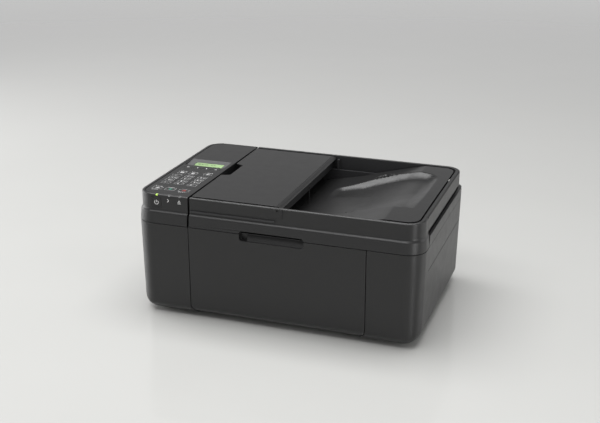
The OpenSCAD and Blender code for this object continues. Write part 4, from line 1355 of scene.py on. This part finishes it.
def build_control_panel():
    """Panel rim, keypad sheet and the recess for the display frame."""
    look = setting("panel")
    low = SEAM_Z + 0.9
    border = look.border
    edge = PANEL_HIGH[0]
    rim = (border - 1.1, border - 1.1, border + 3.1)
    section = skirt_line(low) + top_round(2.6)
    section += [
        (TOP, *rim), (TOP - 0.9, *rim), (TOP - 4, *rim), (TOP - 4.2, *tier(1.0, 3.2)),
        (TOP - 22, *tier(1.0, 3.2)),
    ]
    section += [(160, 3.4, 3.4, 3.4), (low, 3.4, 3.4, 3.4)]
    route = (
        [("rear", edge), ("rear", edge - 4)]
        + bend("rear_left")
        + bend("front_left")
        + [("front", edge - 4), ("front", edge)]
    )
    shell = sweep("control_panel_rim", route, section)
    hole = rounded(
        POWER_LOW[0] - 0.35, POWER_HIGH[0] + 0.35, POWER_LOW[2] - 0.35, POWER_HIGH[2] + 0.35, 3.0
    )
    carve(shell, extruded("t", hole, -HALF_D - 2, -HALF_D + 14, "xz"))
    side = blocks("side", [(edge - 2.6, edge, -HALF_D + 8.4, HALF_D - 13, low, TOP - 4.0)])
    dress(
        joined([shell, side], "control_panel_rim"), "panel_plastic", "printer", ["control_panel"], 0.3
    )
    # the keypad sheet that lies inside the rim
    radius = setting("casing").corner - border
    outline = rounded(-HALF_W + border, edge, -HALF_D + border, HALF_D - border - 4.2, radius, "ad", 12)
    sheet = extruded("keypad_sheet", outline, TOP - 3.6, TOP - 0.15)
    tools = []
    for key in KEYS:
        x0, x1, y0, y1 = key_rect(key)
        gap = 0.22
        tools.append(
            extruded("t", rounded(x0 - gap, x1 + gap, y0 - gap, y1 + gap, 1.3, steps=4), TOP - 6, TOP + 3)
        )
    carve(sheet, joined(tools, "t"))
    x0, x1, y0, y1, _ = bezel_frame()
    wedge = extruded("t", rounded(x0, x1, y0, y1, 1.0, steps=3), TOP - 0.15, TOP + 8, "xy", (), None)
    for vert in wedge.data.vertices:
        if vert.co.z < (TOP + 1) * MM:
            vert.co = tilted(vert.co / MM, 2.0) * MM
    carve(sheet, wedge)
    dress(sheet, "panel_plastic", "printer", (), 0.25)
    build_display_frame()
    build_lamps()


def build_display_frame():
    """Tilted frame, window and marks of the display."""
    x0, x1, y0, y1, _ = bezel_frame()
    base = TOP - 0.15
    plate = extruded(
        "display_frame",
        rounded(x0 + 0.2, x1 - 0.2, y0 + 0.2, y1 - 0.2, 0.9, steps=3),
        base - 1.8,
        base + 0.02,
    )
    window = rounded(LCD_LOW[0] + 0.1, LCD_HIGH[0] - 0.1, LCD_LOW[1] + 0.2, LCD_HIGH[1] - 0.2, 1.0, steps=3)
    carve(plate, extruded("t", window, base - 5, base + 3))
    lay(plate)
    dress(plate, "bezel_plastic", "printer", (), 0.3)
    # raised lip along the frame's rear edge
    lip = [(x0 + 0.1, x1 - 0.1, y1 - 1.1, y1 - 0.2, base - 0.6, base + 0.14)]
    dress(blocks("display_frame_lip", lip), "bezel_plastic", "printer", (), 0.25)
    low = rounded(LCD_LOW[0] + 0.3, LCD_HIGH[0] - 0.3, LCD_LOW[1] + 0.4, LCD_HIGH[1] - 0.4, 0.8, steps=3)
    glass = extruded("display_window", low, base - 1.5, base - 0.35)
    lay(glass)
    dress(glass, "display", "printer", ["lcd_screen"], 0.2)
    marks = Marks()
    left, right = LCD_LOW[0], LCD_HIGH[0]
    row = LCD_HIGH[1] - 6.0
    for step, width in enumerate((2.4, 1.2, 2.0, 1.0, 2.2, 1.4)):
        marks.bar(left + 5 + step * 3.0, row - 1.1, left + 5 + step * 3.0 + width, row + 0.9)
    for step, width in enumerate((1.6, 1.0, 2.0)):
        marks.bar(left + 27 + step * 2.8, row - 1.1, left + 27 + step * 2.8 + width, row + 0.9)
    marks.shape(
        [
            (right - 6.6, row - 9.0), (right - 3.6, row - 9.0), (right - 3.6, row - 6.2),
            (right - 6.6, row - 6.2),
        ]
    )
    thing = marks.place("display_marks", base - 0.33)
    lay(thing)
    dress(thing, "key_plastic", "printer", (), None)


def build_lamps():
    """Three small lamp windows let into the panel's upper front edge."""
    for index, x in enumerate((-181.5, -161.8, -144.9)):
        outline = rounded(x - 2.4, x + 2.4, -HALF_D + 5.05, -HALF_D + 8.0, 1.2, steps=4)
        lens = extruded("lamp_window_%d" % index, outline, TOP - 3.0, TOP - 0.02)
        for vert in lens.data.vertices:
            if vert.co.z > (TOP - 1) * MM and vert.co.y < (-HALF_D + 6.4) * MM:
                vert.co.z -= 0.95 * MM
        dress(lens, "lamp_dark" if index else "lamp_lit", "printer", (), 0.5, 3)


class Marks:
    """Flat printed shapes, gathered in one mesh."""

    def __init__(self):
        self.work = bmesh.new()

    def shape(self, points):
        self.work.faces.new([self.work.verts.new((u, v, 0)) for u, v in points])

    def bar(self, u0, v0, u1, v1):
        self.shape([(u0, v0), (u1, v0), (u1, v1), (u0, v1)])

    def stroke(self, start, end, width):
        a, b = Vector(start), Vector(end)
        side = (b - a).normalized().orthogonal() * width / 2
        self.shape([tuple(a - side), tuple(b - side), tuple(b + side), tuple(a + side)])

    def ring(self, u, v, radius, width, start=0.0, sweep_angle=360.0, steps=28):
        outer, inner = [], []
        closed = sweep_angle >= 360.0
        count = steps if closed else steps + 1
        for step in range(count):
            turn = math.radians(start + sweep_angle * step / steps)
            for reach, row in ((radius, outer), (radius - width, inner)):
                row.append(self.work.verts.new((u + reach * math.cos(turn), v + reach * math.sin(turn), 0)))
        for i in range(count if closed else count - 1):
            j = (i + 1) % count
            self.work.faces.new((outer[i], outer[j], inner[j], inner[i]))

    def frame(self, outline, inner):
        a = [self.work.verts.new((u, v, 0)) for u, v in outline]
        b = [self.work.verts.new((u, v, 0)) for u, v in inner]
        for i in range(len(a)):
            j = (i + 1) % len(a)
            self.work.faces.new((a[i], a[j], b[j], b[i]))

    def digit(self, text, u, v, height):
        """A digit or sign from the built-in font, centred on a point."""
        curve = bpy.data.curves.new("digit", "FONT")
        curve.body = text
        curve.size = height
        curve.align_x = "CENTER"
        curve.align_y = "CENTER"
        curve.resolution_u = 3
        thing = bpy.data.objects.new("digit", curve)
        bpy.context.scene.collection.objects.link(thing)
        bpy.context.view_layer.update()
        mesh = bpy.data.meshes.new_from_object(thing.evaluated_get(bpy.context.evaluated_depsgraph_get()))
        mesh.transform(Matrix.Translation((u, v, 0)))
        self.work.from_mesh(mesh)
        bpy.data.objects.remove(thing)
        bpy.data.curves.remove(curve)

    def place(self, name, level, plane="top", thick=0.03):
        """Puts the shapes on a level plane, or upright on a front face."""
        grown = bmesh.ops.extrude_face_region(self.work, geom=self.work.faces[:])["geom"]
        moved = [item for item in grown if isinstance(item, bmesh.types.BMVert)]
        bmesh.ops.translate(self.work, vec=(0, 0, thick), verts=moved)
        for vert in self.work.verts:
            u, v, w = vert.co
            vert.co = (u, v, level + w) if plane == "top" else (u, level - w, v)
        return as_object(name, self.work)


def key_outline(marks, rect, width, radius=1.1):
    x0, x1, y0, y1 = rect
    outer = rounded(x0, x1, y0, y1, radius, steps=4)
    inner = rounded(x0 + width, x1 - width, y0 + width, y1 - width, radius - width, steps=4)
    marks.frame(outer, inner)


SIGNS = {"key_star": "*", "key_hash": "#"}


def key_mark(node, marks, rect):
    """The generic sign printed on one key."""
    x0, x1, y0, y1 = rect
    u, v = (x0 + x1) / 2, (y0 + y1) / 2
    name = node[4:]
    if name in "0123456789" or node in SIGNS:
        marks.digit(
            SIGNS.get(node, name), u - 2.0, v - (0.6 if node == "key_star" else 0), setting("panel").digit
        )
        if name not in "01" and node not in SIGNS:
            for step in range(3):
                marks.bar(u + 1.4 + step * 1.5, v - 0.9, u + 2.3 + step * 1.5, v + 0.3)
    elif name in ("left", "right"):
        way = -1 if name == "left" else 1
        marks.shape([(u + 1.5 * way, v), (u - 1.1 * way, v + 1.5), (u - 1.1 * way, v - 1.5)])
    elif name == "back":
        marks.ring(u, v, 1.7, 0.45, -90, 250, 14)
        marks.shape([(u - 2.9, v + 0.3), (u - 0.4, v + 0.3), (u - 1.7, v - 1.5)])
    elif name == "ok":
        marks.ring(u, v, 1.6, 0.5, 0, 360, 18)
    elif name == "menu":
        for step in range(3):
            marks.bar(u - 2.8, v - 2.2 + step * 1.8, u + 2.8, v - 1.3 + step * 1.8)
    elif name == "setup":
        marks.ring(u, v, 2.2, 0.9, 0, 360, 18)
        for step in range(6):
            turn = math.radians(60 * step)
            end = (u + 3.1 * math.cos(turn), v + 3.1 * math.sin(turn))
            marks.stroke((u + 1.9 * math.cos(turn), v + 1.9 * math.sin(turn)), end, 0.9)
    elif name == "mode":
        key_outline(marks, (u - 2.0, u + 2.0, v - 2.6, v + 2.6), 0.5, 0.7)
        marks.bar(u - 1.0, v - 0.9, u + 1.0, v - 0.5)
        marks.bar(u - 1.0, v + 0.5, u + 1.0, v + 0.9)
    elif name == "stop":
        marks.ring(u, v, 2.7, 0.6, 0, 360, 24)
        marks.shape([(u - 1.3, v - 0.9), (u + 1.3, v - 0.9), (u, v + 1.4)])
    else:
        marks.ring(u, v, 2.7, 0.6, 0, 360, 24)
        marks.shape([(u, v - 1.4), (u + 1.2, v), (u, v + 1.4), (u - 1.2, v)])


MARK_INK = {"key_color_start": "go_ink", "key_stop": "halt_ink"}


def build_keys():
    """Each key is a cap with eased edges and its own printed outline and sign."""
    look = setting("panel")
    for node in KEYS:
        low = spot(node)[0]
        rect = key_rect(node)
        cap = extruded(node + "_cap", rounded(*rect, 1.2, steps=4), low[2], TOP - 0.1)
        dress(cap, "key_plastic", node, [node], 0.25)
        x0, x1, y0, y1 = rect
        marks = Marks()
        if node not in ("key_back", "key_left", "key_right", "key_ok"):
            key_outline(marks, (x0 + 0.3, x1 - 0.3, y0 + 0.3, y1 - 0.3), look.line)
            dress(marks.place(node + "_outline", TOP - 0.1), "outline_ink", node, (), None)
            marks = Marks()
        key_mark(node, marks, rect)
        sign = marks.place(node + "_sign", TOP - 0.1, thick=0.04)
        dress(sign, MARK_INK.get(node, "print_ink"), node, (), None)
    # short dashes in place of words, printed on the sheet beside the keys
    marks = Marks()
    for node in KEYS:
        x0, x1, y0, y1 = key_rect(node)
        if node in ("key_menu", "key_setup", "key_mode", "key_black_start", "key_color_start"):
            for step in range(4):
                start = x0 + 2.2 + step * 2.7
                marks.bar(start, y1 + 1.5, start + (2.0 if step % 2 else 1.4), y1 + 2.2)
        if node in ("key_stop", "key_black_start"):
            for step in range(4):
                start = x0 + 2.6 + step * 2.9
                marks.bar(start, y0 - 2.9, start + (1.5 if step % 2 else 2.1), y0 - 2.1)
    dress(marks.place("panel_dashes", TOP - 0.15), "print_ink", "printer", (), None)


def build_power_button():
    """Power button with its sign, and the two lamp signs beside it."""
    outline = rounded(POWER_LOW[0], POWER_HIGH[0], POWER_LOW[2], POWER_HIGH[2], 2.8)
    cap = extruded("power_button_cap", outline, POWER_LOW[1], POWER_HIGH[1], "xz")
    dress(cap, "panel_plastic", "power_button", ["power_button"], 0.4)
    u, v = (POWER_LOW[0] + POWER_HIGH[0]) / 2, (POWER_LOW[2] + POWER_HIGH[2]) / 2
    marks = Marks()
    marks.ring(u, v - 0.4, 3.4, 0.75, 128, 284, 26)
    marks.bar(u - 0.4, v - 0.4, u + 0.4, v + 3.5)
    sign = marks.place("power_button_sign", POWER_LOW[1], "front")
    dress(sign, "print_ink", "power_button", (), None)
    face = plan_point("front", 0, *tier(1.0))[1]
    marks = Marks()
    u, v = -163.5, TOP - 8.4
    marks.stroke((u - 1.2, v + 2.3), (u + 1.2, v), 0.8)
    marks.stroke((u + 1.2, v), (u - 1.2, v - 2.3), 0.8)
    u = -145.8
    for a, b in (((-2.1, -1.7), (2.1, -1.7)), ((2.1, -1.7), (0, 2.2)), ((0, 2.2), (-2.1, -1.7))):
        marks.stroke((u + a[0], v + a[1]), (u + b[0], v + b[1]), 0.55)
    marks.bar(u - 0.25, v - 0.8, u + 0.25, v + 0.7)
    marks.bar(u - 2.6, v - 3.4, u + 2.6, v - 2.9)
    dress(marks.place("panel_front_signs", face, "front"), "print_ink", "printer", (), None)


# ---- parts inside ----


INSIDE = {
    "chassis": "sheet_steel",
    "guide_shaft": "shaft_steel",
    "platen": "inner_plastic",
    "purge_unit": "grey_plastic",
    "main_board": "circuit_board",
    "power_supply": "inner_plastic",
    "drive_motors": "motor_steel",
    "carriage_belt": "belt_rubber",
    "carriage": "inner_plastic",
    "black_cartridge": "inner_plastic",
    "color_cartridge": "inner_plastic",
    "feed_roller": "roller_rubber",
    "output_roller": "roller_rubber",
    "motor_gear": "gear_plastic",
    "paper_guide_left": "grey_plastic",
    "paper_guide_right": "grey_plastic",
    "scanner_housing": "charcoal_plastic",
    "scanner_glass": "glass",
    "scan_bar": "inner_plastic",
    "lid_base": "charcoal_plastic",
    "platen_pad": "white_sheet",
    "adf_roller": "roller_rubber",
    "document_guide_front": "grey_plastic",
    "document_guide_rear": "grey_plastic",
}


def dress_inside():
    """CAD parts that stay get rounded edges and their own finish."""
    for node, finish in INSIDE.items():
        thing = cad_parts[node]
        weld = thing.modifiers.new("weld", "WELD")
        weld.merge_threshold = 0.00002
        soften(thing, 0.35 if node not in ("motor_gear", "feed_roller", "output_roller", "chassis") else 0.15)
        thing.data.materials.clear()
        thing.data.materials.append(finish_named(finish))


# ---- stage ----


def build_stage():
    """Floor, backdrop, lights, camera and view settings."""
    look = setting("stage")
    scene = bpy.context.scene
    floor = Finish("stage_floor", rough=0.1, Specular_IOR_Level=0.95, Coat_Weight=0.8, Coat_Roughness=0.05)
    haze = floor.noise(220.0, 2.0)
    floor.set(**{"Base Color": haze.mix([value * 0.97 for value in look.floor], look.floor)})
    floor.set(Roughness=haze * 0.04 + 0.09)
    work = bmesh.new()
    corners = ((-15000, -15000), (15000, -15000), (15000, 15000), (-15000, 15000))
    work.faces.new([work.verts.new((x, y, 0)) for x, y in corners])
    stage = as_object("stage_floor", work)
    stage.data.materials.append(floor.material)
    world = bpy.data.worlds.new("studio")
    scene.world = world
    world.use_nodes = True
    sky = world.node_tree.nodes["Background"]
    tree = Term(world.node_tree, None)
    ray = tree.make("ShaderNodeTexCoord", {}, {}, "Generated")
    up = tree.make("ShaderNodeSeparateXYZ", {}, {"Vector": ray}, 2)
    room = tree.make("ShaderNodeValToRGB", {"stops": ROOM}, {"Fac": up * 0.5 + 0.5})
    glossy = tree.make("ShaderNodeLightPath", {}, {}, "Is Glossy Ray")
    seen = tree.make("ShaderNodeLightPath", {}, {}, "Is Camera Ray")
    ambient = seen.mix(look.ambient, look.backdrop)
    shade = tree.make("ShaderNodeMix", {"data_type": "RGBA"}, {"Factor": glossy, 6: ambient, 7: room}, 2)
    world.node_tree.links.new(shade.socket, sky.inputs["Color"])
    sky.inputs["Strength"].default_value = 0.9
    for name, place, aim, width, height, power in LIGHTS:
        lamp = bpy.data.lights.new(name, "AREA")
        lamp.shape = "RECTANGLE"
        lamp.size, lamp.size_y, lamp.energy = width, height, power
        thing = bpy.data.objects.new(name, lamp)
        scene.collection.objects.link(thing)
        thing.location = place
        thing.rotation_euler = (Vector(aim) - Vector(place)).to_track_quat("-Z", "Y").to_euler()
    build_camera()
    scene.view_settings.view_transform = "Standard"


LIGHTS = (
    ("overhead_light", (-0.40, 0.30, 2.1), (-0.40, 0.30, 0.0), 2.6, 1.0, 52),
    ("front_top_light", (-0.4, -1.0, 1.9), (0, 0, 0.1), 2.2, 0.4, 20),
    ("right_light", (2.4, 0.9, 0.9), (0, 0, 0.1), 1.2, 1.0, 9),
    ("left_light", (-1.7, 0.0, 0.4), (0, 0, 0.1), 1.6, 0.7, 14),
    ("corner_light", (1.35, -0.95, 0.35), (0.2, -0.1, 0.1), 0.35, 0.7, 6),
)
ROOM = ((0.0, 0.6), (0.5, 1.0), (0.56, 0.8), (0.66, 0.28), (0.8, 0.2), (1.0, 0.35))
CAMERA_PLACE = (490.97, -1443.12, 684.82)
CAMERA_AIM = (-45.1, 103.2, 95.0)
CAMERA_ROLL = 0.0033132


def build_camera():
    """The camera, at its fixed place and aim."""
    camera = bpy.data.cameras.new("camera")
    camera.lens = setting("stage").lens
    camera.sensor_width = 36.0
    thing = bpy.data.objects.new("camera", camera)
    bpy.context.scene.collection.objects.link(thing)
    place, aim = Vector(CAMERA_PLACE) * MM, Vector(CAMERA_AIM) * MM
    ahead = (aim - place).normalized()
    right = ahead.cross(Vector((0, 0, 1))).normalized()
    up = right.cross(ahead)
    right, up = (
        right * math.cos(CAMERA_ROLL) + up * math.sin(CAMERA_ROLL),
        up * math.cos(CAMERA_ROLL) - right * math.sin(CAMERA_ROLL),
    )
    turn = Matrix((right, up, -ahead)).transposed()
    thing.matrix_world = Matrix.Translation(place) @ turn.to_4x4()
    bpy.context.scene.camera = thing


# ---- operators ----


class PRINTER_OT_casing(bpy.types.Operator):
    """Builds the side covers, rear cover and base."""

    bl_idname = "printer.casing"
    bl_label = "Casing"

    def execute(self, context):
        build_side_covers()
        build_rear_cover()
        build_sockets()
        build_base()
        return {"FINISHED"}


class PRINTER_OT_feet(bpy.types.Operator):
    """Builds the rubber feet and the screws."""

    bl_idname = "printer.feet"
    bl_label = "Feet and screws"

    def execute(self, context):
        build_feet()
        build_screws()
        return {"FINISHED"}


class PRINTER_OT_front_cover(bpy.types.Operator):
    """Builds the front cover and its output support."""

    bl_idname = "printer.front_cover"
    bl_label = "Front cover"

    def execute(self, context):
        build_front_cover()
        build_output_support()
        return {"FINISHED"}


class PRINTER_OT_lid(bpy.types.Operator):
    """Builds the lid's trims and its inner frame."""

    bl_idname = "printer.lid"
    bl_label = "Lid"

    def execute(self, context):
        build_lid_trims()
        build_lid_inside()
        return {"FINISHED"}


class PRINTER_OT_output_tray(bpy.types.Operator):
    """Builds the scooped document output tray."""

    bl_idname = "printer.output_tray"
    bl_label = "Output tray"

    def execute(self, context):
        build_output_tray()
        return {"FINISHED"}


class PRINTER_OT_document_tray(bpy.types.Operator):
    """Builds the flat document tray."""

    bl_idname = "printer.document_tray"
    bl_label = "Document tray"

    def execute(self, context):
        build_document_tray()
        return {"FINISHED"}


class PRINTER_OT_control_panel(bpy.types.Operator):
    """Builds the panel, display and lamps."""

    bl_idname = "printer.control_panel"
    bl_label = "Control panel"

    def execute(self, context):
        build_control_panel()
        return {"FINISHED"}


class PRINTER_OT_keys(bpy.types.Operator):
    """Builds the keys, the power button and their signs."""

    bl_idname = "printer.keys"
    bl_label = "Keys"

    def execute(self, context):
        build_keys()
        build_power_button()
        return {"FINISHED"}


class PRINTER_OT_inside(bpy.types.Operator):
    """Finishes the CAD parts that stay."""

    bl_idname = "printer.inside"
    bl_label = "Parts inside"

    def execute(self, context):
        dress_inside()
        return {"FINISHED"}


class PRINTER_OT_stage(bpy.types.Operator):
    """Builds the floor, lights and camera."""

    bl_idname = "printer.stage"
    bl_label = "Stage"

    def execute(self, context):
        build_stage()
        return {"FINISHED"}


OPERATORS = (
    PRINTER_OT_casing,
    PRINTER_OT_feet,
    PRINTER_OT_front_cover,
    PRINTER_OT_lid,
    PRINTER_OT_output_tray,
    PRINTER_OT_document_tray,
    PRINTER_OT_control_panel,
    PRINTER_OT_keys,
    PRINTER_OT_inside,
    PRINTER_OT_stage,
)


class PRINTER_PT_looks(bpy.types.Panel):
    """Lists the settings and the operators."""

    bl_idname = "PRINTER_PT_looks"
    bl_label = "Printer"
    bl_space_type = "VIEW_3D"
    bl_region_type = "UI"
    bl_category = "Printer"

    def draw(self, context):
        for group, kind in GROUPS.items():
            column = self.layout.box().column()
            for name in kind.__annotations__:
                column.prop(setting(group), name)
        for kind in OPERATORS:
            self.layout.operator(kind.bl_idname)


def register():
    """Registers the classes and the groups of settings."""
    for kind in (*GROUPS.values(), *OPERATORS, PRINTER_PT_looks):
        bpy.utils.register_class(kind)
    for group, kind in GROUPS.items():
        setattr(bpy.types.Scene, "printer_" + group, bpy.props.PointerProperty(type=kind))


def unregister():
    """Takes the settings and the classes away again."""
    for group in GROUPS:
        delattr(bpy.types.Scene, "printer_" + group)
    for kind in (PRINTER_PT_looks, *reversed(OPERATORS), *reversed(list(GROUPS.values()))):
        bpy.utils.unregister_class(kind)


def main():
    """Builds everything."""
    register()
    for kind in OPERATORS:
        getattr(bpy.ops.printer, kind.bl_idname.split(".")[1])()


if __name__ == "__main__":
    main()
